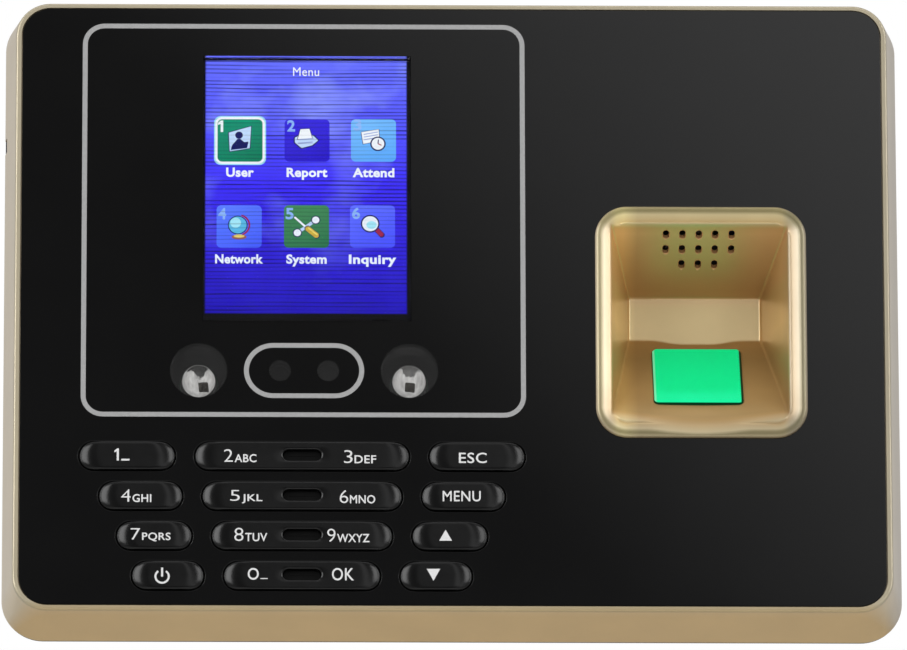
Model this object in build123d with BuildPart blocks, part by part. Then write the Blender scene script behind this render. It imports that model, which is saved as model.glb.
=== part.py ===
from build123d import *
import math
import os

# Wall-mounted fingerprint terminal: a screen, two cameras with infrared lamps, a keypad and a
# finger bay in one case that hangs on a steel bracket.
#
# Row frame, millimetres: +X right, +Z up, +Y into the wall. The origin is on the wall plane, at
# the centre of the bracket's four screw holes. "Depth" below means the distance behind the front
# panel's face, so depth 0 is Y = -DEPTH.

os.makedirs("parts", exist_ok=True)

# ---------------------------------------------------------------- driving dimensions
DEPTH = 36.0                 # wall plane to the front panel's face
CASE_W, CASE_H = 190.9, 141.5        # widest section, at the split line
CASE_R = 8.8
BEZEL_W, BEZEL_H = 185.9, 136.2      # gold bezel at the face
BEZEL_R = 7.3
SPLIT = 14.0                 # depth of the split between front shell and rear cover
SEAM_R = 0.35                # rounding of both edges along the split
LIP_OUTER = (185.2, 135.8, 6.4)      # locating lip of the rear cover: width, height, corner
LIP_INNER = (182.8, 133.4, 5.2)
REAR_W, REAR_H = 174.0, 124.6        # rear cover where it meets the wall
REAR_R = 7.0
REAR_FACE = DEPTH - 0.3      # depth of the rear cover's outer back face
REAR_INNER = 32.5            # depth of the rear wall's inside
WALL = 2.2                   # moulded wall thickness

PANEL_W, PANEL_H = 183.2, 133.8
PANEL_R = 6.0
PANEL_T = 2.0
PANEL_GAP = 0.25             # dark gap between panel and bezel
FRONT_WALL = 3.6             # depth of the back of the shell's front wall

LINE_W = 1.05                # printed silver lines
LINE_T = 0.12
FRAME_LINE_C = (-31.6, 19.2)
FRAME_LINE_SIZE = (94.35, 88.7)
FRAME_LINE_R = 4.7

LCD_WINDOW_C = (-30.85, 26.35)
LCD_WINDOW_SIZE = (44.3, 59.95)
LCD_ACTIVE_C = (-31.07, 26.86)
LCD_ACTIVE_SIZE = (43.2, 57.6)
LCD_MODULE_C = (-31.0, 27.0)
LCD_MODULE_SIZE = (50.0, 69.2)
LCD_FRONT, LCD_BACK = 2.1, 5.5

LAMP_X = (-53.8, -9.1)
CAMERA_X = (-36.56, -26.34)
IMAGING_Z = -14.75
LAMP_WINDOW_D = 12.2
LAMP_R = 3.55
LAMP_TIP = 4.2               # depth of the lamp lens's tip
CAMERA_WINDOW_D = 4.7
CAMERA_RING_C = (-31.46, IMAGING_Z)
CAMERA_RING_SIZE = (25.5, 12.33)
IMAGING_BOARD_FRONT, IMAGING_BOARD_BACK = 11.0, 12.2

KEYPAD_X = -31.85
ROW_Z = (-34.0, -42.9, -51.75, -60.6)
KEY_H = 6.0
KEY_W = (20.1, 17.5, 15.75, 15.05)
KEY_REACH = (37.0, 34.1, 31.2, 28.3)  # keypad centre to a single key's centre, row by row
ROCKER_W = (45.2, 42.1, 38.0, 32.9)
KEY_PROUD = 0.9
KEY_GAP = 0.35               # between a key and its cut-out, all round
KEY_TRAVEL = 0.6
KEY_FLANGE = 0.8             # how far a single key's flange stands out from its cap
KEY_FLANGE_T = 1.0
STEM_R = 2.0
STEM_END = 8.6
ROCKER_STEM_R = 1.6
ROCKER_STEM_END = 8.85
SHAFT_R = 0.8
SHAFT_DEPTH = 4.8
SHAFT_CLEARANCE = 0.05
KEY_FRAME_FRONT, KEY_FRAME_BACK = 5.6, 7.0
DOME_H = 0.4
DOME_R = 2.6
KEYPAD_BOARD_FRONT, KEYPAD_BOARD_BACK = 9.7, 10.9

BAY_RIM_X = (30.4, 75.3)
BAY_RIM_Z = (-29.6, 22.2)
BAY_RIM_R = 6.8
BAY_RIM_PROUD = 1.2
BAY_NECK = 1.15              # the neck through the panel is this much inside the rim's outline
BAY_WALL = 1.6
BAY_MOUTH_X = (33.8, 71.4)   # pocket at depth 0
BAY_BACK_X = (38.0, 66.2)    # pocket at its back wall
BAY_DEEP = 19.0
BAY_TOP_FRONT, BAY_TOP_BACK = 18.14, 8.16
DECK_TOP_Z = -1.26
DECK_TILT = 40.0             # degrees from vertical
DECK_END_DEPTH = 1.6
BAY_LIP_Z = -28.0

PRISM_W, PRISM_L = 18.8, 21.6
PRISM_X = 52.3
PRISM_START = 4.2            # along the deck, from its top edge
PRISM_PROUD = 0.75
PRISM_T = 5.75

SPEAKER_X = 52.6
SPEAKER_R = 8.0
HOLE_PITCH = 3.5

BRACKET_W, BRACKET_H = 110.0, 70.0
BRACKET_T = 1.2
BRACKET_OPENING = (18.5, 14.0)     # for the wires, in front of the wall box
SCREW_SPACING_X, SCREW_SPACING_Z = 92.0, 52.0
SCREW_HOLE_R = 2.25
HOOK_X = 31.0
HOOK_Z = (14.0, -26.0)
HOOK_W = 8.0
HOOK_T = 1.2
HOOK_REACH = 4.9             # from the wall plane to the front of a hook
HOOK_RISE = 6.0
LIFT = 6.0                   # the case lifts this far to come off the hooks

CASE_SCREW_X, CASE_SCREW_Z = 82.0, 57.0
SCREW_SEAT = 22.0            # depth of the seat under each case screw's head
MAIN_BOARD_FRONT, MAIN_BOARD_BACK = 17.0, 18.6
MAIN_BOARD_X = (-70.0, 25.0)
MAIN_BOARD_Z = (-57.5, 54.0)
STANDOFFS = ((-66.0, 50.0), (22.0, 50.0), (22.0, -44.0), (-66.0, -22.0))
IMAGING_STANDOFFS = ((-44.4, -20.5), (-18.5, -20.5))
KEYPAD_POSTS = ((46.0, -30.9), (34.8, -63.3))

PORT_BAY_X = (-60.0, 6.0)
PORT_BAY_DEPTH = 17.0
PORT_FLOOR_Z = -60.0
PORT_WALL = 2.0
NETWORK_X, NETWORK_SIZE = -32.0, (16.0, 13.3, 21.0)
USB_X, USB_SIZE = -7.0, (13.2, 7.0, 14.0)
POWER_X, POWER_SIZE = -49.5, (9.0, 11.0, 14.0)

COS_TILT = math.cos(math.radians(DECK_TILT))
SIN_TILT = math.sin(math.radians(DECK_TILT))


# ---------------------------------------------------------------- planes and small helpers
def behind(depth):
    """Plane facing the front at a depth behind the panel's face; local x, y are X and Z."""
    return Plane.XZ.offset(DEPTH - depth)


def radial(x, z):
    """Plane through a front-to-back axis at x, z; local x is the radius and local y the depth."""
    return Plane(origin=(x, -DEPTH, z), x_dir=(1, 0, 0), z_dir=(0, 0, 1))


def axis_at(x, z):
    return Axis((x, -DEPTH, z), (0, 1, 0))


def span(low_high):
    return low_high[1] - low_high[0]


def middle(low_high):
    return (low_high[0] + low_high[1]) / 2


def at_depth(shape, depth):
    """Edges of a shape that lie flat at one depth."""
    return shape.edges().filter_by(
        lambda e: abs(e.bounding_box().min.Y + DEPTH - depth) < 0.01
        and abs(e.bounding_box().max.Y + DEPTH - depth) < 0.01
    )


def case_half(size, rear_size, depth):
    """Half of the rear cover's width or height at a depth behind the split."""
    share = (depth - SPLIT) / (REAR_FACE - SPLIT)
    return (size + (rear_size - size) * share) / 2


deck = Plane(
    origin=(0, BAY_DEEP - DEPTH, DECK_TOP_Z),
    x_dir=(1, 0, 0),
    z_dir=(0, -COS_TILT, SIN_TILT),
)
ceiling_drop = BAY_TOP_FRONT - BAY_TOP_BACK
ceiling_length = math.hypot(BAY_DEEP, ceiling_drop)
ceiling = Plane(
    origin=(0, -DEPTH, BAY_TOP_FRONT),
    x_dir=(1, 0, 0),
    z_dir=(0, ceiling_drop / ceiling_length, BAY_DEEP / ceiling_length),
)
deck_end_z = DECK_TOP_Z - (BAY_DEEP - DECK_END_DEPTH) / SIN_TILT * COS_TILT
bay_hole_x = (BAY_RIM_X[0] + BAY_NECK - 0.1, BAY_RIM_X[1] - BAY_NECK + 0.1)
bay_hole_z = (BAY_RIM_Z[0] + BAY_NECK - 0.1, BAY_RIM_Z[1] - BAY_NECK + 0.1)
prism_y = -(PRISM_START + PRISM_L / 2)


def keypad_outline(inset):
    """Keypad frame and board outline: wide above, narrower below, like the rows of keys."""
    top, bottom, waist = 49.6 - inset, 39.2 - inset, -38.5
    high, low = -28.0 - inset, -65.6 + inset
    return [
        (KEYPAD_X - top, high),
        (KEYPAD_X + top, high),
        (KEYPAD_X + top, waist),
        (KEYPAD_X + bottom, low),
        (KEYPAD_X - bottom, low),
        (KEYPAD_X - top, waist),
    ]


def key_cutouts():
    """The twelve openings that the keys come through, drawn in the sketch being built."""
    for z, width, reach, rocker in zip(ROW_Z, KEY_W, KEY_REACH, ROCKER_W):
        with Locations((KEYPAD_X - reach, z), (KEYPAD_X + reach, z)):
            SlotOverall(width + 2 * KEY_GAP, KEY_H + 2 * KEY_GAP)
        with Locations((KEYPAD_X, z)):
            SlotOverall(rocker + 2 * KEY_GAP, KEY_H + 2 * KEY_GAP)


def bay_cutout():
    """The opening that the finger bay's neck goes through."""
    with Locations((middle(bay_hole_x), middle(bay_hole_z))):
        RectangleRounded(span(bay_hole_x), span(bay_hole_z), BAY_RIM_R - BAY_NECK)


# ---------------------------------------------------------------- wall bracket
with BuildPart() as wall_bracket:
    with BuildSketch(Plane.XZ):
        RectangleRounded(BRACKET_W, BRACKET_H, 4)
        with GridLocations(SCREW_SPACING_X, SCREW_SPACING_Z, 2, 2):
            Circle(SCREW_HOLE_R, mode=Mode.SUBTRACT)
        RectangleRounded(*BRACKET_OPENING, 3, mode=Mode.SUBTRACT)
        for hook_z in HOOK_Z:
            with Locations((-HOOK_X, hook_z + HOOK_T), (HOOK_X, hook_z + HOOK_T)):
                Rectangle(HOOK_W + 1, HOOK_RISE + 2, align=(Align.CENTER, Align.MIN), mode=Mode.SUBTRACT)
    extrude(amount=BRACKET_T)
    # each hook is a tongue bent forward out of the plate and then up
    for hook_z in HOOK_Z:
        for hook_x in (-HOOK_X, HOOK_X):
            with BuildSketch(Plane.YZ.offset(hook_x - HOOK_W / 2)):
                with BuildLine():
                    Polyline(
                        (0, hook_z),
                        (-HOOK_REACH, hook_z),
                        (-HOOK_REACH, hook_z + HOOK_RISE),
                        (HOOK_T - HOOK_REACH, hook_z + HOOK_RISE),
                        (HOOK_T - HOOK_REACH, hook_z + HOOK_T),
                        (0, hook_z + HOOK_T),
                        close=True,
                    )
                make_face()
            extrude(amount=HOOK_W)
wall_bracket.part.label = "wall_bracket"
export_step(wall_bracket.part, "parts/wall_bracket.step")

# ---------------------------------------------------------------- rear cover
port_bay_depth_centre = (PORT_BAY_DEPTH + DEPTH) / 2
with BuildPart() as rear_cavity:
    # the cover's inside, less the port bay's walls and the screw posts
    with BuildSketch(behind(SPLIT)):
        RectangleRounded(CASE_W - 2 * WALL, CASE_H - 2 * WALL, CASE_R - WALL)
    with BuildSketch(behind(REAR_INNER)):
        RectangleRounded(
            2 * (case_half(CASE_W, REAR_W, REAR_INNER) - WALL),
            2 * (case_half(CASE_H, REAR_H, REAR_INNER) - WALL),
            REAR_R - WALL,
        )
    loft()
    with BuildSketch(Plane.XY.offset(PORT_FLOOR_Z + PORT_WALL)):
        with Locations((middle(PORT_BAY_X), port_bay_depth_centre - PORT_WALL / 2 - DEPTH)):
            Rectangle(span(PORT_BAY_X) + 2 * PORT_WALL, DEPTH - PORT_BAY_DEPTH + PORT_WALL)
    extrude(amount=-20, mode=Mode.SUBTRACT)
    with BuildSketch(behind(REAR_INNER)):
        with GridLocations(2 * CASE_SCREW_X, 2 * CASE_SCREW_Z, 2, 2):
            Circle(4.2)
    extrude(amount=REAR_INNER - SPLIT, mode=Mode.SUBTRACT)

with BuildPart() as rear_cover:
    with BuildSketch(behind(SPLIT)):
        RectangleRounded(CASE_W, CASE_H, CASE_R)
    with BuildSketch(behind(REAR_FACE)):
        RectangleRounded(REAR_W, REAR_H, REAR_R)
    loft()
    fillet(at_depth(rear_cover.part, REAR_FACE), 2.0)
    fillet(at_depth(rear_cover.part, SPLIT), SEAM_R)
    add(rear_cavity.part, mode=Mode.SUBTRACT)
    # lip that locates the front shell
    with BuildSketch(behind(SPLIT + 2)):
        RectangleRounded(CASE_W - 3, CASE_H - 3, CASE_R - 1.5)
        RectangleRounded(*LIP_INNER, mode=Mode.SUBTRACT)
    extrude(amount=2)
    with BuildSketch(behind(SPLIT)):
        RectangleRounded(*LIP_OUTER)
        RectangleRounded(*LIP_INNER, mode=Mode.SUBTRACT)
    extrude(amount=2.5)
    # a well for each screw's head, and the screw's clearance hole
    with BuildSketch(behind(REAR_FACE)):
        with GridLocations(2 * CASE_SCREW_X, 2 * CASE_SCREW_Z, 2, 2):
            Circle(3.0)
    extrude(amount=REAR_FACE - SCREW_SEAT, mode=Mode.SUBTRACT)
    with BuildSketch(behind(REAR_FACE)):
        with GridLocations(2 * CASE_SCREW_X, 2 * CASE_SCREW_Z, 2, 2):
            Circle(1.6)
    extrude(amount=REAR_FACE - SPLIT, mode=Mode.SUBTRACT)
    # recess for the bracket, with room for the lift, and the four hook slots
    with BuildSketch(behind(REAR_FACE)):
        with Locations((0, -LIFT / 2)):
            RectangleRounded(BRACKET_W + 1.6, BRACKET_H + 1.6 + LIFT, 4.5)
    extrude(amount=1.2, mode=Mode.SUBTRACT)
    with BuildSketch(behind(REAR_FACE)):
        for hook_z in HOOK_Z:
            with Locations((-HOOK_X, hook_z - LIFT - 0.4), (HOOK_X, hook_z - LIFT - 0.4)):
                Rectangle(HOOK_W + 1.2, LIFT + 0.4 + HOOK_T + 0.06, align=(Align.CENTER, Align.MIN))
        # cable hole behind the bracket's opening, and vents each side of the bracket
        RectangleRounded(26, 12, 3)
        with Locations((-69, 8), (69, 8)):
            with GridLocations(3.6, 0, 5, 1):
                SlotOverall(34, 1.8, rotation=90)
    extrude(amount=REAR_FACE - REAR_INNER, mode=Mode.SUBTRACT)
    # the port bay, open below and behind, and the holes in its floor for the three sockets
    with BuildSketch(Plane.XY.offset(PORT_FLOOR_Z)):
        with Locations((middle(PORT_BAY_X), port_bay_depth_centre - DEPTH)):
            Rectangle(span(PORT_BAY_X), DEPTH - PORT_BAY_DEPTH)
    extrude(amount=-20, mode=Mode.SUBTRACT)
    with BuildSketch(Plane.XY.offset(PORT_FLOOR_Z)):
        for port_x, port_size in ((NETWORK_X, NETWORK_SIZE), (USB_X, USB_SIZE), (POWER_X, POWER_SIZE)):
            with Locations((port_x, MAIN_BOARD_BACK + port_size[1] / 2 - DEPTH)):
                Rectangle(port_size[0] + 0.4, port_size[1] + 0.4)
    extrude(amount=PORT_WALL, mode=Mode.SUBTRACT)
rear_cover.part.label = "rear_cover"
export_step(rear_cover.part, "parts/rear_cover.step")

# ---------------------------------------------------------------- front shell
with BuildPart() as front_shell:
    with BuildSketch(behind(0)):
        RectangleRounded(BEZEL_W, BEZEL_H, BEZEL_R)
    with BuildSketch(behind(SPLIT)):
        RectangleRounded(CASE_W, CASE_H, CASE_R)
    loft()
    fillet(at_depth(front_shell.part, 0), 0.45)
    fillet(at_depth(front_shell.part, SPLIT), SEAM_R)
    # hollow behind the front wall
    with BuildSketch(behind(FRONT_WALL)):
        RectangleRounded(BEZEL_W - 2.9, BEZEL_H - 2.9, BEZEL_R - 1.6)
    with BuildSketch(behind(SPLIT)):
        RectangleRounded(CASE_W - 2 * WALL, CASE_H - 2 * WALL, CASE_R - WALL)
    loft(mode=Mode.SUBTRACT)
    # recess that the panel sits in
    with BuildSketch(behind(PANEL_T)):
        RectangleRounded(PANEL_W + 2 * PANEL_GAP, PANEL_H + 2 * PANEL_GAP, PANEL_R + PANEL_GAP)
    extrude(amount=PANEL_T, mode=Mode.SUBTRACT)
    # openings in the front wall
    with BuildSketch(behind(FRONT_WALL)):
        with Locations(LCD_MODULE_C):
            Rectangle(LCD_MODULE_SIZE[0] + 0.4, LCD_MODULE_SIZE[1] + 0.4)
        with Locations((LAMP_X[0], IMAGING_Z), (LAMP_X[1], IMAGING_Z)):
            Circle(6.8)
        with Locations((CAMERA_X[0], IMAGING_Z), (CAMERA_X[1], IMAGING_Z)):
            Circle(4.2)
        key_cutouts()
        bay_cutout()
    extrude(amount=FRONT_WALL - PANEL_T, mode=Mode.SUBTRACT)
    # bosses for the case screws, each tied to the side wall by a rib
    with BuildSketch(behind(SPLIT)):
        with GridLocations(2 * CASE_SCREW_X, 2 * CASE_SCREW_Z, 2, 2):
            Circle(3.5)
    extrude(amount=SPLIT - FRONT_WALL)
    with BuildSketch(behind(11)):
        with GridLocations(2 * CASE_SCREW_X + 13, 2 * CASE_SCREW_Z, 2, 2):
            Rectangle(9.5, 1.4)
    extrude(amount=11 - FRONT_WALL)
    # screw holes
    with BuildSketch(behind(SPLIT)):
        with GridLocations(2 * CASE_SCREW_X, 2 * CASE_SCREW_Z, 2, 2):
            Circle(1.33)
    extrude(amount=SPLIT - 5.5, mode=Mode.SUBTRACT)
    # small service notch in the left side, at the split line
    with BuildSketch(behind(SPLIT)):
        with Locations((-CASE_W / 2, 40)):
            Rectangle(4 * WALL, 3.2)
    extrude(amount=2.6, mode=Mode.SUBTRACT)
front_shell.part.label = "front_shell"
export_step(front_shell.part, "parts/front_shell.step")

# ---------------------------------------------------------------- brass standoffs for the boards
with BuildPart() as board_standoffs:
    # hexagonal pillar with a round foot on the front wall and a tapped hole behind
    for spots, board_depth, size, hole in (
        (STANDOFFS, MAIN_BOARD_FRONT, 2.75, 1.03),
        (IMAGING_STANDOFFS, IMAGING_BOARD_FRONT, 1.75, 0.83),
    ):
        with BuildSketch(behind(board_depth)):
            with Locations(*spots):
                RegularPolygon(size, 6)
        extrude(amount=board_depth - FRONT_WALL)
        with BuildSketch(behind(FRONT_WALL + 1)):
            with Locations(*spots):
                Circle(size + 0.8)
        extrude(amount=1)
        with BuildSketch(behind(board_depth)):
            with Locations(*spots):
                Circle(hole)
        extrude(amount=6, mode=Mode.SUBTRACT)
board_standoffs.part.label = "board_standoffs"
export_step(board_standoffs.part, "parts/board_standoffs.step")


# ---------------------------------------------------------------- front panel and its windows
def frame_line_sketch():
    """The silver line round the screen and the lamps."""
    width, height = FRAME_LINE_SIZE
    with Locations(FRAME_LINE_C):
        RectangleRounded(width, height, FRAME_LINE_R)
        RectangleRounded(
            width - 2 * LINE_W, height - 2 * LINE_W, FRAME_LINE_R - LINE_W, mode=Mode.SUBTRACT
        )


def camera_ring_sketch():
    """The silver ring round the two cameras."""
    width, height = CAMERA_RING_SIZE
    with Locations(CAMERA_RING_C):
        SlotOverall(width, height)
        SlotOverall(width - 2 * LINE_W, height - 2 * LINE_W, mode=Mode.SUBTRACT)


with BuildPart() as front_panel:
    with BuildSketch(behind(PANEL_T)):
        RectangleRounded(PANEL_W, PANEL_H, PANEL_R)
        with Locations(LCD_WINDOW_C):
            Rectangle(*LCD_WINDOW_SIZE, mode=Mode.SUBTRACT)
        with Locations((LAMP_X[0], IMAGING_Z), (LAMP_X[1], IMAGING_Z)):
            Circle(LAMP_WINDOW_D / 2, mode=Mode.SUBTRACT)
        with Locations((CAMERA_X[0], IMAGING_Z), (CAMERA_X[1], IMAGING_Z)):
            Circle(CAMERA_WINDOW_D / 2, mode=Mode.SUBTRACT)
    extrude(amount=PANEL_T)
    with BuildSketch(behind(PANEL_T)):
        key_cutouts()
        bay_cutout()
    extrude(amount=PANEL_T, mode=Mode.SUBTRACT)
    # shallow grooves that the silver lines fill
    with BuildSketch(behind(LINE_T)):
        frame_line_sketch()
        camera_ring_sketch()
    extrude(amount=LINE_T, mode=Mode.SUBTRACT)
front_panel.part.label = "front_panel"
export_step(front_panel.part, "parts/front_panel.step")

with BuildPart() as frame_line:
    with BuildSketch(behind(LINE_T)):
        frame_line_sketch()
    extrude(amount=LINE_T)
frame_line.part.label = "frame_line"
export_step(frame_line.part, "parts/frame_line.step")

with BuildPart() as camera_ring:
    with BuildSketch(behind(LINE_T)):
        camera_ring_sketch()
    extrude(amount=LINE_T)
camera_ring.part.label = "camera_ring"
export_step(camera_ring.part, "parts/camera_ring.step")

with BuildPart() as display_window:
    with BuildSketch(behind(PANEL_T)):
        with Locations(LCD_WINDOW_C):
            Rectangle(LCD_WINDOW_SIZE[0] - 0.04, LCD_WINDOW_SIZE[1] - 0.04)
    extrude(amount=PANEL_T - 0.05)
display_window.part.label = "display_window"
export_step(display_window.part, "parts/display_window.step")

# ---------------------------------------------------------------- display module
with BuildPart() as lcd_frame:
    with BuildSketch(behind(LCD_BACK)):
        with Locations(LCD_MODULE_C):
            Rectangle(*LCD_MODULE_SIZE)
    extrude(amount=LCD_BACK - LCD_FRONT)
    with BuildSketch(behind(LCD_BACK - 0.4)):
        with Locations(LCD_MODULE_C):
            Rectangle(LCD_MODULE_SIZE[0] - 1, LCD_MODULE_SIZE[1] - 1)
    extrude(amount=LCD_BACK - 0.8 - LCD_FRONT, mode=Mode.SUBTRACT)
    with BuildSketch(behind(LCD_FRONT + 1)):
        with Locations(LCD_ACTIVE_C):
            Rectangle(LCD_ACTIVE_SIZE[0] + 1, LCD_ACTIVE_SIZE[1] + 1)
    extrude(amount=1, mode=Mode.SUBTRACT)
lcd_frame.part.label = "lcd_frame"
export_step(lcd_frame.part, "parts/lcd_frame.step")

with BuildPart() as lcd_screen:
    with BuildSketch(behind(LCD_FRONT + 1.6)):
        with Locations(LCD_MODULE_C):
            Rectangle(LCD_MODULE_SIZE[0] - 1.1, LCD_MODULE_SIZE[1] - 1.1)
    extrude(amount=1.2)
lcd_screen.part.label = "lcd_screen"
export_step(lcd_screen.part, "parts/lcd_screen.step")

with BuildPart() as lcd_backlight:
    with BuildSketch(behind(LCD_BACK - 0.4)):
        with Locations(LCD_MODULE_C):
            Rectangle(LCD_MODULE_SIZE[0] - 1.1, LCD_MODULE_SIZE[1] - 1.1)
    extrude(amount=LCD_BACK - 0.4 - LCD_FRONT - 1.6)
lcd_backlight.part.label = "lcd_backlight"
export_step(lcd_backlight.part, "parts/lcd_backlight.step")

# ---------------------------------------------------------------- infrared lamps
for side, lamp_x in zip(("left", "right"), LAMP_X):
    with BuildPart() as ir_window:
        with BuildSketch(behind(PANEL_T)):
            with Locations((lamp_x, IMAGING_Z)):
                Circle(LAMP_WINDOW_D / 2 - 0.02)
        extrude(amount=PANEL_T - 0.05)
    ir_window.part.label = f"ir_window_{side}"
    export_step(ir_window.part, f"parts/ir_window_{side}.step")

    with BuildPart() as ir_reflector:
        # flared cup, open at the back for the lamp's lens
        with BuildSketch(radial(lamp_x, IMAGING_Z)):
            with BuildLine():
                Line((6.0, 2.1), (6.6, 2.1))
                Line((6.6, 2.1), (6.6, 7.5))
                Line((6.6, 7.5), (5.2, 10.9))
                Line((5.2, 10.9), (4.15, 10.9))
                Line((4.15, 10.9), (4.15, 9.4))
                ThreePointArc((4.15, 9.4), (5.35, 6.0), (6.0, 2.1))
            make_face()
        revolve(axis=axis_at(lamp_x, IMAGING_Z))
    ir_reflector.part.label = f"ir_reflector_{side}"
    export_step(ir_reflector.part, f"parts/ir_reflector_{side}.step")

    with BuildPart() as ir_lamp:
        # domed lens on a collar that stands on the board
        with BuildSketch(behind(IMAGING_BOARD_FRONT)):
            with Locations((lamp_x, IMAGING_Z)):
                Circle(LAMP_R)
        extrude(amount=IMAGING_BOARD_FRONT - LAMP_TIP)
        fillet(at_depth(ir_lamp.part, LAMP_TIP), LAMP_R - 0.4)
        with BuildSketch(behind(IMAGING_BOARD_FRONT)):
            with Locations((lamp_x, IMAGING_Z)):
                Circle(LAMP_R + 0.3)
        extrude(amount=0.8)
    ir_lamp.part.label = f"ir_lamp_{side}"
    export_step(ir_lamp.part, f"parts/ir_lamp_{side}.step")

# ---------------------------------------------------------------- cameras
for side, camera_x in zip(("left", "right"), CAMERA_X):
    with BuildPart() as camera_window:
        with BuildSketch(behind(PANEL_T)):
            with Locations((camera_x, IMAGING_Z)):
                Circle(CAMERA_WINDOW_D / 2 - 0.02)
        extrude(amount=PANEL_T - 0.05)
    camera_window.part.label = f"camera_window_{side}"
    export_step(camera_window.part, f"parts/camera_window_{side}.step")

    with BuildPart() as camera_holder:
        # square foot on the board and a round barrel that carries the lens
        with BuildSketch(behind(IMAGING_BOARD_FRONT)):
            with Locations((camera_x, IMAGING_Z)):
                RectangleRounded(8.5, 8.5, 0.8)
        extrude(amount=3.5)
        with BuildSketch(behind(IMAGING_BOARD_FRONT - 3.5)):
            with Locations((camera_x, IMAGING_Z)):
                Circle(3.6)
        extrude(amount=4.6)
        with BuildSketch(behind(IMAGING_BOARD_FRONT)):
            with Locations((camera_x, IMAGING_Z)):
                Circle(2.3)
        extrude(amount=IMAGING_BOARD_FRONT - 2.9, mode=Mode.SUBTRACT)
    camera_holder.part.label = f"camera_holder_{side}"
    export_step(camera_holder.part, f"parts/camera_holder_{side}.step")

    with BuildPart() as camera_lens:
        with BuildSketch(behind(7.5)):
            with Locations((camera_x, IMAGING_Z)):
                Circle(2.25)
        extrude(amount=4)
        fillet(at_depth(camera_lens.part, 3.5), 0.9)
    camera_lens.part.label = f"camera_lens_{side}"
    export_step(camera_lens.part, f"parts/camera_lens_{side}.step")

with BuildPart() as imaging_board:
    with BuildSketch(behind(IMAGING_BOARD_BACK)):
        with Locations((KEYPAD_X + 0.4, -15.65)):
            RectangleRounded(60.1, 17.7, 1)
        with Locations(*IMAGING_STANDOFFS):
            Circle(1.05, mode=Mode.SUBTRACT)
    extrude(amount=IMAGING_BOARD_BACK - IMAGING_BOARD_FRONT)
imaging_board.part.label = "imaging_board"
export_step(imaging_board.part, "parts/imaging_board.step")

# ---------------------------------------------------------------- keypad frame, board and domes
with BuildPart() as key_frame:
    with BuildSketch(behind(KEY_FRAME_BACK)):
        with BuildLine():
            Polyline(*keypad_outline(0), close=True)
        make_face()
    extrude(amount=KEY_FRAME_BACK - FRONT_WALL)
    with BuildSketch(behind(KEY_FRAME_FRONT)):
        with BuildLine():
            Polyline(*keypad_outline(1.0), close=True)
        make_face()
    extrude(amount=KEY_FRAME_FRONT - FRONT_WALL, mode=Mode.SUBTRACT)
    # ribs between the rows carry the rocker shaft
    with BuildSketch(behind(KEY_FRAME_BACK)):
        for low, high in zip(ROW_Z[1:] + (-68.6,), ROW_Z):
            with Locations((KEYPAD_X, (low + high) / 2)):
                Rectangle(6.4, high - low - 6.2)
        with Locations((KEYPAD_X, -29.5)):
            Rectangle(6.4, 2.8)
        with BuildLine():
            Polyline(*keypad_outline(0), close=True)
        make_face(mode=Mode.INTERSECT)
    extrude(amount=KEY_FRAME_BACK - FRONT_WALL)
    # windows for the rockers' bosses and stems, guide holes for the single keys' stems
    with BuildSketch(behind(KEY_FRAME_BACK)):
        for z, reach, rocker in zip(ROW_Z, KEY_REACH, ROCKER_W):
            with Locations((KEYPAD_X, z)):
                Rectangle(6.4, 6.2)
            with Locations((KEYPAD_X - rocker / 2 + 8, z), (KEYPAD_X + rocker / 2 - 8, z)):
                Circle(ROCKER_STEM_R + 0.6)
            with Locations((KEYPAD_X - reach, z), (KEYPAD_X + reach, z)):
                Circle(STEM_R + 0.1)
    extrude(amount=KEY_FRAME_BACK - KEY_FRAME_FRONT, mode=Mode.SUBTRACT)
    # bore for the shaft
    with BuildSketch(Plane.XY.offset(-70)):
        with Locations((KEYPAD_X, SHAFT_DEPTH - DEPTH)):
            Circle(SHAFT_R + 0.02)
    extrude(amount=45, mode=Mode.SUBTRACT)
    # posts for the keypad board
    with BuildSketch(behind(KEYPAD_BOARD_FRONT)):
        for post_x, post_z in KEYPAD_POSTS:
            with Locations((KEYPAD_X - post_x, post_z), (KEYPAD_X + post_x, post_z)):
                Circle(1.6)
                Circle(0.83, mode=Mode.SUBTRACT)
    extrude(amount=KEYPAD_BOARD_FRONT - KEY_FRAME_BACK)
key_frame.part.label = "key_frame"
export_step(key_frame.part, "parts/key_frame.step")

with BuildPart() as rocker_shaft:
    with BuildSketch(Plane.XY.offset(-65.2)):
        with Locations((KEYPAD_X, SHAFT_DEPTH - DEPTH)):
            Circle(SHAFT_R)
    extrude(amount=36.6)
    chamfer(rocker_shaft.edges().filter_by(GeomType.CIRCLE), 0.2)
rocker_shaft.part.label = "rocker_shaft"
export_step(rocker_shaft.part, "parts/rocker_shaft.step")

with BuildPart() as keypad_board:
    with BuildSketch(behind(KEYPAD_BOARD_BACK)):
        with BuildLine():
            Polyline(*keypad_outline(0.3), close=True)
        make_face()
        for post_x, post_z in KEYPAD_POSTS:
            with Locations((KEYPAD_X - post_x, post_z), (KEYPAD_X + post_x, post_z)):
                Circle(1.05, mode=Mode.SUBTRACT)
    extrude(amount=KEYPAD_BOARD_BACK - KEYPAD_BOARD_FRONT)
keypad_board.part.label = "keypad_board"
export_step(keypad_board.part, "parts/keypad_board.step")

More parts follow.
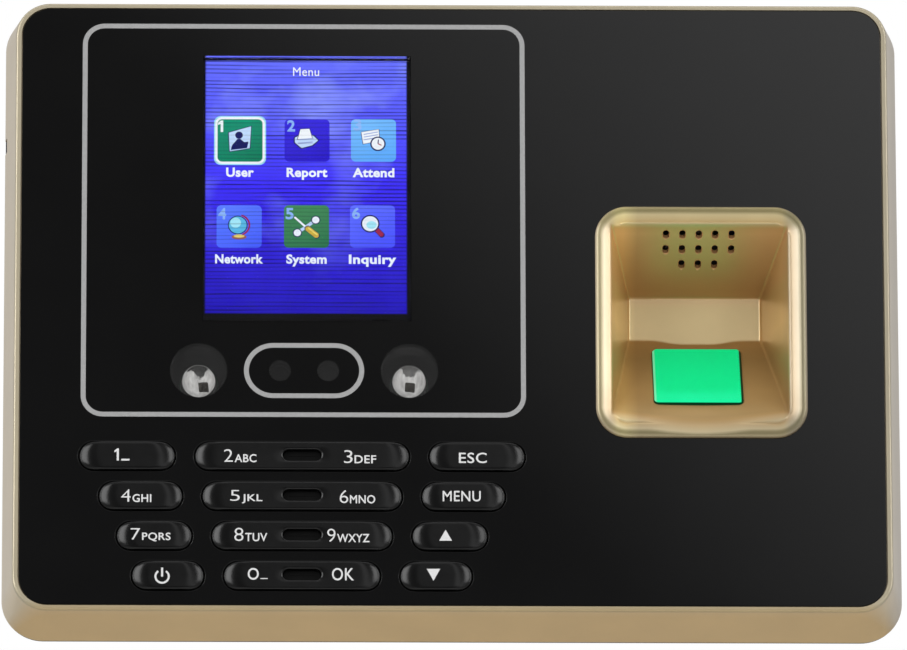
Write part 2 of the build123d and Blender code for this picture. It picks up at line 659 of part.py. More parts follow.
with BuildPart() as dome_array:
    # one snap dome under each single key and two under each rocker
    dome_sphere_r = (DOME_R**2 + DOME_H**2) / (2 * DOME_H)
    for z, reach, rocker in zip(ROW_Z, KEY_REACH, ROCKER_W):
        for dome_x in (-reach, 8 - rocker / 2, rocker / 2 - 8, reach):
            with BuildSketch(radial(KEYPAD_X + dome_x, z)):
                with Locations((0, KEYPAD_BOARD_FRONT - DOME_H + dome_sphere_r)):
                    Circle(dome_sphere_r)
                with Locations((0, KEYPAD_BOARD_FRONT - DOME_H)):
                    Rectangle(DOME_R, DOME_H, align=Align.MIN, mode=Mode.INTERSECT)
            revolve(axis=axis_at(KEYPAD_X + dome_x, z))
dome_array.part.label = "dome_array"
export_step(dome_array.part, "parts/dome_array.step")


# ---------------------------------------------------------------- single keys
def single_key(x, z, width):
    """Cap with a retaining flange behind the front wall and one stem above its dome."""
    with BuildPart() as key:
        with BuildSketch(behind(FRONT_WALL + 0.05)):
            with Locations((x, z)):
                SlotOverall(width, KEY_H)
        extrude(amount=FRONT_WALL + 0.05 + KEY_PROUD)
        fillet(at_depth(key.part, -KEY_PROUD), 0.7)
        with BuildSketch(behind(FRONT_WALL + 0.05 + KEY_FLANGE_T)):
            with Locations((x, z)):
                SlotOverall(width + 2 * KEY_FLANGE, KEY_H + 2 * KEY_FLANGE)
        extrude(amount=KEY_FLANGE_T)
        with BuildSketch(behind(STEM_END)):
            with Locations((x, z)):
                Circle(STEM_R)
        extrude(amount=STEM_END - FRONT_WALL)
    return key


SINGLE_KEYS = (
    ("key_1", -1, 0),
    ("key_4", -1, 1),
    ("key_7", -1, 2),
    ("key_power", -1, 3),
    ("key_esc", 1, 0),
    ("key_menu", 1, 1),
    ("key_up", 1, 2),
    ("key_down", 1, 3),
)
for name, side, row in SINGLE_KEYS:
    key = single_key(KEYPAD_X + side * KEY_REACH[row], ROW_Z[row], KEY_W[row])
    key.part.label = name
    export_step(key.part, f"parts/{name}.step")


# ---------------------------------------------------------------- rocker keys
def rocker_key(z, width):
    """Two-way bar with a slot in its middle, a bored boss on the shaft and two stems."""
    with BuildPart() as rocker:
        with BuildSketch(behind(3.0)):
            with Locations((KEYPAD_X, z)):
                SlotOverall(width, KEY_H)
        extrude(amount=3.0 + KEY_PROUD)
        fillet(at_depth(rocker.part, -KEY_PROUD), 0.7)
        with BuildSketch(behind(0.3)):
            with Locations((KEYPAD_X, z + 0.15)):
                SlotOverall(9.05, 2.6)
        extrude(amount=2, mode=Mode.SUBTRACT)
        with BuildSketch(behind(6.6)):
            with Locations((KEYPAD_X, z)):
                RectangleRounded(4.8, 5.7, 0.5)
        extrude(amount=6.6 - 2.5)
        with BuildSketch(Plane.XY.offset(z - 4)):
            with Locations((KEYPAD_X, SHAFT_DEPTH - DEPTH)):
                Circle(SHAFT_R + SHAFT_CLEARANCE)
        extrude(amount=8, mode=Mode.SUBTRACT)
        with BuildSketch(behind(ROCKER_STEM_END)):
            with Locations((KEYPAD_X - width / 2 + 8, z), (KEYPAD_X + width / 2 - 8, z)):
                Circle(ROCKER_STEM_R)
        extrude(amount=ROCKER_STEM_END - 2.5)
    return rocker


for name, z, width in zip(("key_2_3", "key_5_6", "key_8_9", "key_0_ok"), ROW_Z, ROCKER_W):
    rocker = rocker_key(z, width)
    rocker.part.label = name
    export_step(rocker.part, f"parts/{name}.step")

# ---------------------------------------------------------------- finger bay
pocket_profile = [
    (-3.0, BAY_TOP_FRONT + 3.0 * ceiling_drop / BAY_DEEP),
    (BAY_DEEP, BAY_TOP_BACK),
    (BAY_DEEP, DECK_TOP_Z),
    (DECK_END_DEPTH, deck_end_z),
    (-3.0, BAY_LIP_Z - (3.0 - BAY_RIM_PROUD) * (deck_end_z - BAY_LIP_Z) / (DECK_END_DEPTH + BAY_RIM_PROUD)),
]
left_draft = (BAY_BACK_X[0] - BAY_MOUTH_X[0]) / BAY_DEEP
right_draft = (BAY_MOUTH_X[1] - BAY_BACK_X[1]) / BAY_DEEP


def pocket_solid(grow):
    """The pocket's form, grown outward all round; drafted side walls, sloping ceiling and deck."""
    with BuildPart() as pocket:
        with BuildSketch(Plane.YZ.offset(BAY_RIM_X[0] - 5)):
            with BuildLine():
                Polyline(*[(d - DEPTH, z) for d, z in pocket_profile], close=True)
            make_face()
            if grow:
                offset(amount=grow, kind=Kind.INTERSECTION)
        extrude(amount=span(BAY_RIM_X) + 10)
        with BuildSketch(Plane.XY.offset(BAY_RIM_Z[0] - 10)):
            with BuildLine():
                Polyline(
                    (BAY_MOUTH_X[0] - 6 * left_draft - grow, -6 - DEPTH),
                    (BAY_MOUTH_X[1] + 6 * right_draft + grow, -6 - DEPTH),
                    (BAY_BACK_X[1] - 6 * right_draft + grow, BAY_DEEP + 6 - DEPTH),
                    (BAY_BACK_X[0] + 6 * left_draft - grow, BAY_DEEP + 6 - DEPTH),
                    close=True,
                )
            make_face()
        extrude(amount=span(BAY_RIM_Z) + 20, mode=Mode.INTERSECT)
        upright = pocket.edges().filter_by(lambda e: abs(e.tangent_at(0.5).X) < 0.9 and e.length > 5)
        fillet(upright.filter_by(lambda e: e.bounding_box().max.Y > BAY_DEEP / 2 - DEPTH), 1.6 + grow)
    return pocket


with BuildPart() as finger_bay:
    with BuildSketch(behind(0)):
        with Locations((middle(BAY_RIM_X), middle(BAY_RIM_Z))):
            RectangleRounded(span(BAY_RIM_X), span(BAY_RIM_Z), BAY_RIM_R)
    extrude(amount=BAY_RIM_PROUD)
    fillet(at_depth(finger_bay.part, -BAY_RIM_PROUD), 0.9)
    # neck through the panel and the front wall
    with BuildSketch(behind(FRONT_WALL)):
        with Locations((middle(BAY_RIM_X), middle(BAY_RIM_Z))):
            RectangleRounded(
                span(BAY_RIM_X) - 2 * BAY_NECK,
                span(BAY_RIM_Z) - 2 * BAY_NECK,
                BAY_RIM_R - BAY_NECK,
            )
    extrude(amount=FRONT_WALL)
    # the pocket's walls behind the neck
    shell = pocket_solid(BAY_WALL)
    with BuildSketch(behind(30)):
        with Locations((middle(BAY_RIM_X), middle(BAY_RIM_Z))):
            Rectangle(70, 80)
    trimmed = extrude(amount=30 - 2, mode=Mode.PRIVATE)
    add(shell.part & trimmed)
    # snap hooks that hold the insert behind the front wall
    with BuildSketch(behind(5.2)):
        for hook_z in (-14, 10):
            with Locations((BAY_MOUTH_X[0] + 1.2 - 2.0, hook_z), (BAY_MOUTH_X[1] - 1.2 + 2.0, hook_z)):
                Rectangle(6.4, 5)
    extrude(amount=5.2 - FRONT_WALL - 0.05)
    add(pocket_solid(0).part, mode=Mode.SUBTRACT)
    # window in the deck for the prism
    with BuildSketch(deck.offset(-12)):
        with Locations((PRISM_X, prism_y)):
            RectangleRounded(PRISM_W + 0.2, PRISM_L + 0.2, 1.1)
    extrude(amount=14, mode=Mode.SUBTRACT)
    # speaker holes in the ceiling
    with BuildSketch(ceiling.offset(-1)):
        for hole_depth, count in ((2.3, 5), (6.1, 5), (9.95, 3)):
            with Locations((SPEAKER_X, hole_depth * ceiling_length / BAY_DEEP)):
                with GridLocations(HOLE_PITCH, 0, count, 1):
                    SlotOverall(2.4, 1.3, rotation=90)
    extrude(amount=7, mode=Mode.SUBTRACT)
finger_bay.part.label = "finger_bay"
export_step(finger_bay.part, "parts/finger_bay.step")

# ---------------------------------------------------------------- fingerprint sensor
with BuildPart() as scanner_prism:
    with BuildSketch(deck.offset(PRISM_PROUD - PRISM_T)):
        with Locations((PRISM_X, prism_y)):
            RectangleRounded(PRISM_W, PRISM_L, 1.0)
    extrude(amount=PRISM_T)
    prism_top = scanner_prism.faces().filter_by(lambda f: abs(f.normal_at().dot(deck.z_dir)) > 0.99)
    chamfer(prism_top.sort_by(Axis(deck.origin, deck.z_dir))[-1].edges(), 0.45)
scanner_prism.part.label = "scanner_prism"
export_step(scanner_prism.part, "parts/scanner_prism.step")

HOUSING_L = 23.4
HOUSING_TOP = -1.0
HOUSING_FRONT, HOUSING_BACK = -1.7, -13.0
with BuildPart() as sensor_housing:
    with BuildSketch(deck.offset(HOUSING_BACK)):
        with Locations((PRISM_X, HOUSING_TOP - HOUSING_L / 2)):
            RectangleRounded(23, HOUSING_L, 1.5)
    extrude(amount=HOUSING_FRONT - HOUSING_BACK)
    with BuildSketch(deck.offset(HOUSING_BACK)):
        with Locations((PRISM_X, HOUSING_TOP - HOUSING_L / 2)):
            RectangleRounded(20, HOUSING_L - 3, 1)
    extrude(amount=PRISM_PROUD - PRISM_T - 0.8 - HOUSING_BACK, mode=Mode.SUBTRACT)
    with BuildSketch(deck.offset(PRISM_PROUD - PRISM_T - 1)):
        with Locations((PRISM_X, prism_y)):
            RectangleRounded(PRISM_W + 0.1, PRISM_L + 0.1, 1.05)
    extrude(amount=8, mode=Mode.SUBTRACT)
sensor_housing.part.label = "sensor_housing"
export_step(sensor_housing.part, "parts/sensor_housing.step")

with BuildPart() as sensor_board:
    with BuildSketch(deck.offset(HOUSING_BACK - 1.3)):
        with Locations((PRISM_X, HOUSING_TOP - HOUSING_L / 2)):
            RectangleRounded(23, HOUSING_L, 1.5)
    extrude(amount=1.2)
    # image sensor on the board, looking up at the prism
    with BuildSketch(deck.offset(HOUSING_BACK - 0.1)):
        with Locations((PRISM_X, HOUSING_TOP - HOUSING_L / 2)):
            Rectangle(8, 8)
    extrude(amount=2.5)
sensor_board.part.label = "sensor_board"
export_step(sensor_board.part, "parts/sensor_board.step")

# ---------------------------------------------------------------- speaker
speaker_y = 3.5 + SPEAKER_R
with BuildPart() as speaker_frame:
    with BuildSketch(ceiling.offset(BAY_WALL + 0.1)):
        with Locations((SPEAKER_X, speaker_y)):
            Circle(SPEAKER_R)
            Circle(SPEAKER_R - 1.0, mode=Mode.SUBTRACT)
    extrude(amount=3)
    with BuildSketch(ceiling.offset(BAY_WALL + 2.1)):
        with Locations((SPEAKER_X, speaker_y)):
            Circle(SPEAKER_R - 0.5)
    extrude(amount=1.6)
speaker_frame.part.label = "speaker_frame"
export_step(speaker_frame.part, "parts/speaker_frame.step")

with BuildPart() as speaker_cone:
    with BuildSketch(ceiling.offset(BAY_WALL + 0.8)):
        with Locations((SPEAKER_X, speaker_y)):
            Circle(SPEAKER_R - 1.0)
    extrude(amount=0.3)
speaker_cone.part.label = "speaker_cone"
export_step(speaker_cone.part, "parts/speaker_cone.step")

# ---------------------------------------------------------------- main board and what is on it
with BuildPart() as main_board:
    with BuildSketch(behind(MAIN_BOARD_BACK)):
        with Locations((middle(MAIN_BOARD_X), middle(MAIN_BOARD_Z))):
            RectangleRounded(span(MAIN_BOARD_X), span(MAIN_BOARD_Z), 2)
        with Locations(*STANDOFFS):
            Circle(1.3, mode=Mode.SUBTRACT)
    extrude(amount=MAIN_BOARD_BACK - MAIN_BOARD_FRONT)
main_board.part.label = "main_board"
export_step(main_board.part, "parts/main_board.step")

with BuildPart() as board_components:
    # processor, memory, power stage and relay behind the board
    with BuildSketch(behind(MAIN_BOARD_BACK + 1.4)):
        with Locations((-26, 12)):
            RectangleRounded(17, 17, 0.6)
        with Locations((-4, 14)):
            RectangleRounded(12, 8, 0.4)
        with Locations((-50, 8)):
            RectangleRounded(7, 9, 0.4)
        with Locations((4, -14)):
            RectangleRounded(9, 6, 0.4)
    extrude(amount=1.4)
    with BuildSketch(behind(MAIN_BOARD_BACK + 8)):
        with Locations((-56, -30), (-56, -40)):
            Circle(3.2)
        with Locations((12, 30)):
            RectangleRounded(10, 18, 0.6)
    extrude(amount=8)
    # flat cable connectors in front of the board
    with BuildSketch(behind(MAIN_BOARD_FRONT)):
        with Locations((-31, 14)):
            Rectangle(23, 4)
        with Locations((KEYPAD_X, -23)):
            Rectangle(14, 4)
    extrude(amount=1.4)
board_components.part.label = "board_components"
export_step(board_components.part, "parts/board_components.step")

with BuildPart() as network_jack:
    with BuildSketch(Plane.XY.offset(PORT_FLOOR_Z)):
        with Locations((NETWORK_X, MAIN_BOARD_BACK + NETWORK_SIZE[1] / 2 - DEPTH)):
            Rectangle(NETWORK_SIZE[0], NETWORK_SIZE[1])
    extrude(amount=NETWORK_SIZE[2])
    with BuildSketch(Plane.XY.offset(PORT_FLOOR_Z)):
        with Locations((NETWORK_X, MAIN_BOARD_BACK + NETWORK_SIZE[1] / 2 - DEPTH)):
            Rectangle(11.8, 8.2)
        with Locations((NETWORK_X, MAIN_BOARD_BACK + NETWORK_SIZE[1] / 2 - DEPTH - 4.6)):
            Rectangle(6.2, 2.4)
    extrude(amount=14, mode=Mode.SUBTRACT)
network_jack.part.label = "network_jack"
export_step(network_jack.part, "parts/network_jack.step")

with BuildPart() as usb_port:
    with BuildSketch(Plane.XY.offset(PORT_FLOOR_Z)):
        with Locations((USB_X, MAIN_BOARD_BACK + USB_SIZE[1] / 2 - DEPTH)):
            RectangleRounded(USB_SIZE[0], USB_SIZE[1], 0.5)
            Rectangle(12.5, 5.1, mode=Mode.SUBTRACT)
    extrude(amount=USB_SIZE[2] - 2)
    with BuildSketch(Plane.XY.offset(PORT_FLOOR_Z + USB_SIZE[2] - 2)):
        with Locations((USB_X, MAIN_BOARD_BACK + USB_SIZE[1] / 2 - DEPTH)):
            RectangleRounded(USB_SIZE[0], USB_SIZE[1], 0.5)
    extrude(amount=2)
    with BuildSketch(Plane.XY.offset(PORT_FLOOR_Z + 1)):
        with Locations((USB_X, MAIN_BOARD_BACK + USB_SIZE[1] / 2 - DEPTH - 1.2)):
            Rectangle(11.4, 1.8)
    extrude(amount=USB_SIZE[2] - 2)
usb_port.part.label = "usb_port"
export_step(usb_port.part, "parts/usb_port.step")

with BuildPart() as power_jack:
    with BuildSketch(Plane.XY.offset(PORT_FLOOR_Z)):
        with Locations((POWER_X, MAIN_BOARD_BACK + POWER_SIZE[1] / 2 - DEPTH)):
            Rectangle(POWER_SIZE[0], POWER_SIZE[1])
    extrude(amount=POWER_SIZE[2])
    with BuildSketch(Plane.XY.offset(PORT_FLOOR_Z)):
        with Locations((POWER_X, MAIN_BOARD_BACK + POWER_SIZE[1] / 2 - DEPTH)):
            Circle(2.85)
    extrude(amount=9.5, mode=Mode.SUBTRACT)
power_jack.part.label = "power_jack"
export_step(power_jack.part, "parts/power_jack.step")

with BuildPart() as power_pin:
    with BuildSketch(Plane.XY.offset(PORT_FLOOR_Z + 0.8)):
        with Locations((POWER_X, MAIN_BOARD_BACK + POWER_SIZE[1] / 2 - DEPTH)):
            Circle(1.0)
    extrude(amount=9.5 - 0.8)
    fillet(power_pin.edges().filter_by(GeomType.CIRCLE).sort_by(Axis.Z)[0], 0.6)
power_pin.part.label = "power_pin"
export_step(power_pin.part, "parts/power_pin.step")

with BuildPart() as battery_pack:
    with BuildSketch(behind(REAR_INNER - 0.1)):
        with Locations((53.5, 43)):
            RectangleRounded(43, 31, 3)
    extrude(amount=9.5)
    fillet(at_depth(battery_pack.part, REAR_INNER - 9.6), 2)
battery_pack.part.label = "battery_pack"
export_step(battery_pack.part, "parts/battery_pack.step")


# ---------------------------------------------------------------- flat cables
def flat_cable(plane, points, width):
    """Thin strip along a path, as wide as the extrusion."""
    with BuildPart() as cable:
        with BuildSketch(plane):
            with BuildLine() as path:
                FilletPolyline(*points, radius=1.2)
            trace(path.line, line_width=0.3)
        extrude(amount=width)
    return cable


def yz(depth, z):
    return (depth - DEPTH, z)


lcd_flat_cable = flat_cable(
    Plane.YZ.offset(-41),
    [yz(5.75, 14), yz(5.75, 1), yz(10.5, -2), yz(15.2, 3), yz(15.2, 12)],
    20,
)
lcd_flat_cable.part.label = "lcd_flat_cable"
export_step(lcd_flat_cable.part, "parts/lcd_flat_cable.step")

keypad_flat_cable = flat_cable(
    Plane.YZ.offset(KEYPAD_X - 6),
    [yz(11.15, -38), yz(11.15, -31), yz(15.2, -29), yz(15.2, -25)],
    12,
)
keypad_flat_cable.part.label = "keypad_flat_cable"
export_step(keypad_flat_cable.part, "parts/keypad_flat_cable.step")

sensor_flat_cable = flat_cable(
    Plane.XY.offset(-19),
    [(21, 18.8 - DEPTH), (28, 18.8 - DEPTH), (34, 23.4 - DEPTH), (40.7, 23.4 - DEPTH)],
    6,
)
sensor_flat_cable.part.label = "sensor_flat_cable"
export_step(sensor_flat_cable.part, "parts/sensor_flat_cable.step")

# ---------------------------------------------------------------- screws
with BuildPart() as case_screws:
    with BuildSketch(behind(SCREW_SEAT)):
        with GridLocations(2 * CASE_SCREW_X, 2 * CASE_SCREW_Z, 2, 2):
            Circle(1.3)
    extrude(amount=15)
    with BuildSketch(behind(SCREW_SEAT + 2)):
        with GridLocations(2 * CASE_SCREW_X, 2 * CASE_SCREW_Z, 2, 2):
            Circle(2.6)
    extrude(amount=2)
    with BuildSketch(behind(SCREW_SEAT + 2)):
        with GridLocations(2 * CASE_SCREW_X, 2 * CASE_SCREW_Z, 2, 2):
            Rectangle(3.0, 0.6)
            Rectangle(0.6, 3.0)
    extrude(amount=1.2, mode=Mode.SUBTRACT)
case_screws.part.label = "case_screws"
export_step(case_screws.part, "parts/case_screws.step")

with BuildPart() as board_screws:
    with BuildSketch(behind(MAIN_BOARD_BACK)):
        with Locations(*STANDOFFS):
            Circle(1.0)
    extrude(amount=5.5)
    with BuildSketch(behind(MAIN_BOARD_BACK + 1.4)):
        with Locations(*STANDOFFS):
            Circle(2.2)
    extrude(amount=1.4)
    with BuildSketch(behind(IMAGING_BOARD_BACK)):
        with Locations(*IMAGING_STANDOFFS):
            Circle(0.8)
    extrude(amount=4)
    with BuildSketch(behind(IMAGING_BOARD_BACK + 1)):
        with Locations(*IMAGING_STANDOFFS):
            Circle(1.7)
    extrude(amount=1)
    keypad_screws = [(KEYPAD_X + s * x, z) for x, z in KEYPAD_POSTS for s in (-1, 1)]
    with BuildSketch(behind(KEYPAD_BOARD_BACK)):
        with Locations(*keypad_screws):
            Circle(0.8)
    extrude(amount=3.5)
    with BuildSketch(behind(KEYPAD_BOARD_BACK + 1)):
        with Locations(*keypad_screws):
            Circle(1.7)
    extrude(amount=1)
board_screws.part.label = "board_screws"
export_step(board_screws.part, "parts/board_screws.step")
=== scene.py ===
import math

import bpy
import numpy as np
from mathutils import Matrix, Vector


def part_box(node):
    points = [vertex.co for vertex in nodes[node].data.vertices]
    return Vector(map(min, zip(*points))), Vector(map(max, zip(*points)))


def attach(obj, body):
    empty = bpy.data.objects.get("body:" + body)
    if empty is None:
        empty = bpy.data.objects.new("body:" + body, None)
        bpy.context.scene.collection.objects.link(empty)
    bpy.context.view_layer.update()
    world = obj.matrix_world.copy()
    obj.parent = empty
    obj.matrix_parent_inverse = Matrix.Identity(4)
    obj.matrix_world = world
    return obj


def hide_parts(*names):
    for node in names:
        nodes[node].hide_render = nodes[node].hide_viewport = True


# Fingerprint scanner terminal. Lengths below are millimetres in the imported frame: +X right, +Z up,
# +Y into the wall. "Depth" is the distance behind the front panel's face.

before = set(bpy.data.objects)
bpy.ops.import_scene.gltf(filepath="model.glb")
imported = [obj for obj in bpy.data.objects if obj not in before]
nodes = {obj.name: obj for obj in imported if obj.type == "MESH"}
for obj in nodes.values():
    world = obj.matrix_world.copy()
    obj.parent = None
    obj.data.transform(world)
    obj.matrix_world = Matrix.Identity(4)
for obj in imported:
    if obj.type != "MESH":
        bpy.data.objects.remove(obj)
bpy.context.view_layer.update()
scene = bpy.context.scene

MM = 0.001
FACE_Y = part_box("front_panel")[0][1] / MM  # the panel's face

KEYPAD_X = -31.85
ROW_Z = (-34.0, -42.9, -51.75, -60.6)
KEY_W = (20.1, 17.5, 15.75, 15.05)
KEY_REACH = (37.0, 34.1, 31.2, 28.3)
ROCKER_W = (45.2, 42.1, 38.0, 32.9)
KEY_H = 6.0
KEY_PROUD = 0.88
LAMP_X = (-53.8, -9.1)
IMAGING_Z = -14.75
SCREEN_DEPTH = 2.5
LAMP_TIP = 4.2
DOME_R = 3.15
BAY_LEFT, BAY_RIGHT, BAY_TOP, BAY_DEEP = 33.8, 71.4, 18.14, 19.0
CEILING_DROP = 9.98  # fall of the bay's ceiling from its mouth to its back
CEILING_SLOPE = 0.5253
DECK_BACK_Z = -1.26
DECK_TILT = math.radians(40.0)


def mm(x, depth, z):
    """Row frame point in metres from X, depth and Z in millimetres."""
    return (x * MM, (depth + FACE_Y) * MM, z * MM)


def blend(a, b, t):
    return a + (b - a) * t


# ---------------- camera
CAMERA_BELOW = math.radians(19.196)
CAMERA_LEFT = math.radians(1.0)
CAMERA_ROLL = -0.00267
CAMERA_DISTANCE = 3.0
CAMERA_AIM = Vector(mm(0.25, 0, -4.42))
LENS, SENSOR = 560.973, 36.0


def make_camera():
    """Camera below the terminal and a little to its left, with a long lens."""
    toward = Vector(
        (
            math.sin(CAMERA_LEFT) * math.cos(CAMERA_BELOW),
            math.cos(CAMERA_LEFT) * math.cos(CAMERA_BELOW),
            math.sin(CAMERA_BELOW),
        )
    )
    right = toward.cross(Vector((0, 0, 1))).normalized()
    up = right.cross(toward)
    rolled_right = right * math.cos(CAMERA_ROLL) + up * math.sin(CAMERA_ROLL)
    rolled_up = up * math.cos(CAMERA_ROLL) - right * math.sin(CAMERA_ROLL)
    data = bpy.data.cameras.new("camera")
    data.sensor_width = SENSOR
    data.lens = LENS
    data.clip_start = 0.05
    data.clip_end = 60.0
    camera = bpy.data.objects.new("camera", data)
    turn = Matrix((rolled_right, rolled_up, -toward)).transposed()
    camera.matrix_world = Matrix.Translation(CAMERA_AIM - toward * CAMERA_DISTANCE) @ turn.to_4x4()
    scene.collection.objects.link(camera)
    scene.camera = camera


make_camera()
scene.view_settings.view_transform = "Standard"
scene.view_settings.look = "None"


# ---------------- node helpers
class Graph:
    """Short names for building a node tree."""

    def __init__(self, tree):
        self.tree = tree
        self.tree.nodes.clear()

    def add(self, kind, **values):
        node = self.tree.nodes.new(kind)
        for key, value in values.items():
            setattr(node, key, value)
        return node

    def link(self, a, b):
        self.tree.links.new(a, b)

    def put(self, socket, value):
        if hasattr(value, "links"):
            self.link(value, socket)
        else:
            socket.default_value = value

    def math(self, operation, *values, clamp=False):
        node = self.add("ShaderNodeMath", operation=operation, use_clamp=clamp)
        for socket, value in zip(node.inputs, values):
            self.put(socket, value)
        return node.outputs[0]

    def minus(self, a, b):
        return self.math("SUBTRACT", a, b)

    def times(self, a, b):
        return self.math("MULTIPLY", a, b)

    def most(self, a, b):
        return self.math("MAXIMUM", a, b)

    def gap(self, a, b):
        return self.math("ABSOLUTE", self.minus(a, b))

    def mix(self, factor, a, b, blend_type="MIX"):
        node = self.add("ShaderNodeMix", data_type="RGBA", blend_type=blend_type)
        self.put(node.inputs["Factor"], factor)
        self.put(node.inputs["A"], a if hasattr(a, "links") else (*a[:3], 1))
        self.put(node.inputs["B"], b if hasattr(b, "links") else (*b[:3], 1))
        return node.outputs["Result"]

    def weigh(self, a, a_weight, b, b_weight):
        return self.math("ADD", self.times(a, a_weight), self.times(b, b_weight))

    def span(self, value, low, high, out_low=0.0, out_high=1.0, smooth=False):
        node = self.add("ShaderNodeMapRange", interpolation_type="SMOOTHSTEP" if smooth else "LINEAR")
        for socket, item in zip(node.inputs, (value, low, high, out_low, out_high)):
            self.put(socket, item)
        return node.outputs[0]

    def place(self, scale=(1, 1, 1)):
        """Object coordinates, stretched."""
        coordinates = self.add("ShaderNodeTexCoord")
        mapping = self.add("ShaderNodeMapping")
        mapping.inputs["Scale"].default_value = scale
        self.link(coordinates.outputs["Object"], mapping.inputs["Vector"])
        return mapping.outputs[0]

    def noise(self, scale, detail=3.0, stretch=(1, 1, 1)):
        node = self.add("ShaderNodeTexNoise")
        node.inputs["Scale"].default_value = scale
        node.inputs["Detail"].default_value = detail
        self.link(self.place(stretch), node.inputs["Vector"])
        return node.outputs["Fac"]

    def patches(self, scale, low=0.0, high=1.0, stretch=(1, 1, 1)):
        """Noise spread over a range."""
        return self.span(self.noise(scale, stretch=stretch), 0.3, 0.7, low, high)

    def axes(self):
        """X, depth and Z in millimetres as three sockets."""
        coordinates = self.add("ShaderNodeTexCoord")
        split = self.add("ShaderNodeSeparateXYZ")
        self.link(coordinates.outputs["Object"], split.inputs[0])
        x, y, z = [self.times(socket, 1 / MM) for socket in split.outputs]
        return x, self.minus(y, FACE_Y), z

    def feed(self, shader, **values):
        """Sets or links a shader's sockets, named with underscores for spaces."""
        for key, value in values.items():
            self.put(shader.inputs[key.replace("_", " ")], value)


BUMP_DISTANCE = 0.05 * MM


def material(name):
    made = bpy.data.materials.new(name)
    made.use_nodes = True
    graph = Graph(made.node_tree)
    shader = graph.add("ShaderNodeBsdfPrincipled")
    out = graph.add("ShaderNodeOutputMaterial")
    graph.link(shader.outputs[0], out.inputs[0])
    return made, graph, shader


def emboss(graph, shader, height, strength):
    relief = graph.add("ShaderNodeBump")
    relief.inputs["Strength"].default_value = strength
    relief.inputs["Distance"].default_value = BUMP_DISTANCE
    graph.link(height, relief.inputs["Height"])
    graph.link(relief.outputs[0], shader.inputs["Normal"])


def surface(
    name, colours, grain=700, rough=(0.3, 0.4), bump=0.1, bump_scale=3000, stretch=(1, 1, 1), **sockets
):
    """Material with uneven colour and roughness and a fine bump; sockets are set on the shader."""
    made, graph, shader = material(name)
    colour = graph.mix(graph.patches(grain, stretch=stretch), *colours)
    wear = graph.patches(grain * 0.37, *rough, stretch)
    graph.feed(shader, Base_Color=colour, Roughness=wear, **sockets)
    emboss(graph, shader, graph.noise(bump_scale, stretch=stretch), bump)
    return made


def glass(name, tint, ior):
    made, graph, shader = material(name)
    smear = graph.noise(120, detail=4)
    colour = graph.mix(graph.span(smear, 0.35, 0.65), tint, [c * 0.93 for c in tint])
    wear = graph.span(smear, 0.3, 0.7, 0.0, 0.02)
    graph.feed(shader, Base_Color=colour, Roughness=wear, Transmission_Weight=1.0, IOR=ior)
    return made


PLAIN = (1.0, 1.0, 1.0)


def paint(name, base, painted_light_by_depth, painted_light_by_place=(), coat=0.0, metal=0.5):
    """Champagne paint with painted light and shade: its tone is lightened and darkened by depth and by
    place.

    Depth steps are (depth, factor) and place steps are (axis, near, far, factor); both paint light and
    shade. "z inside" spares the outer rim.
    """
    made, graph, shader = material(name)
    x, depth, z = graph.axes()
    colour = graph.mix(graph.patches(90), base, [min(1.0, c * 1.07) for c in base])
    # Painted light and shade by depth: each step lightens or darkens the paint.
    factor = painted_light_by_depth[0][1]
    for (near, _), (far, value) in zip(painted_light_by_depth, painted_light_by_depth[1:]):
        factor = graph.mix(graph.span(depth, near, far), factor, value)
    colour = graph.mix(1.0, colour, factor, "MULTIPLY")
    # Painted light and shade by place along an axis.
    for axis, near, far, value in painted_light_by_place:
        place = graph.span(x if axis == "x" else z, near, far)
        if axis == "z inside":
            place = graph.times(place, graph.span(depth, 0.0, 1.0))
        colour = graph.mix(1.0, colour, graph.mix(place, PLAIN, value), "MULTIPLY")
    graph.feed(shader, Base_Color=colour, Roughness=graph.patches(33, 0.34, 0.40), Metallic=metal)
    graph.feed(shader, Coat_Weight=coat, Coat_Roughness=0.25)
    emboss(graph, shader, graph.noise(7000), 0.12)
    return made


# Case paint with painted light: darker and cooler toward the bezel's front face as painted shade that dims
# its edge highlight, a painted reflection that pales and cools everything above the bottom band, and
# painted shade on the right side wall.
gold = paint(
    "champagne paint",
    (0.62, 0.42, 0.18),
    ((0.2, (0.66, 0.70, 0.72)), (0.9, PLAIN)),
    (("z", -68.6, -66.2, (1.07, 1.3, 2.05)), ("x", 91.5, 94.5, (0.68, 0.68, 0.72))),
    coat=0.75,
)
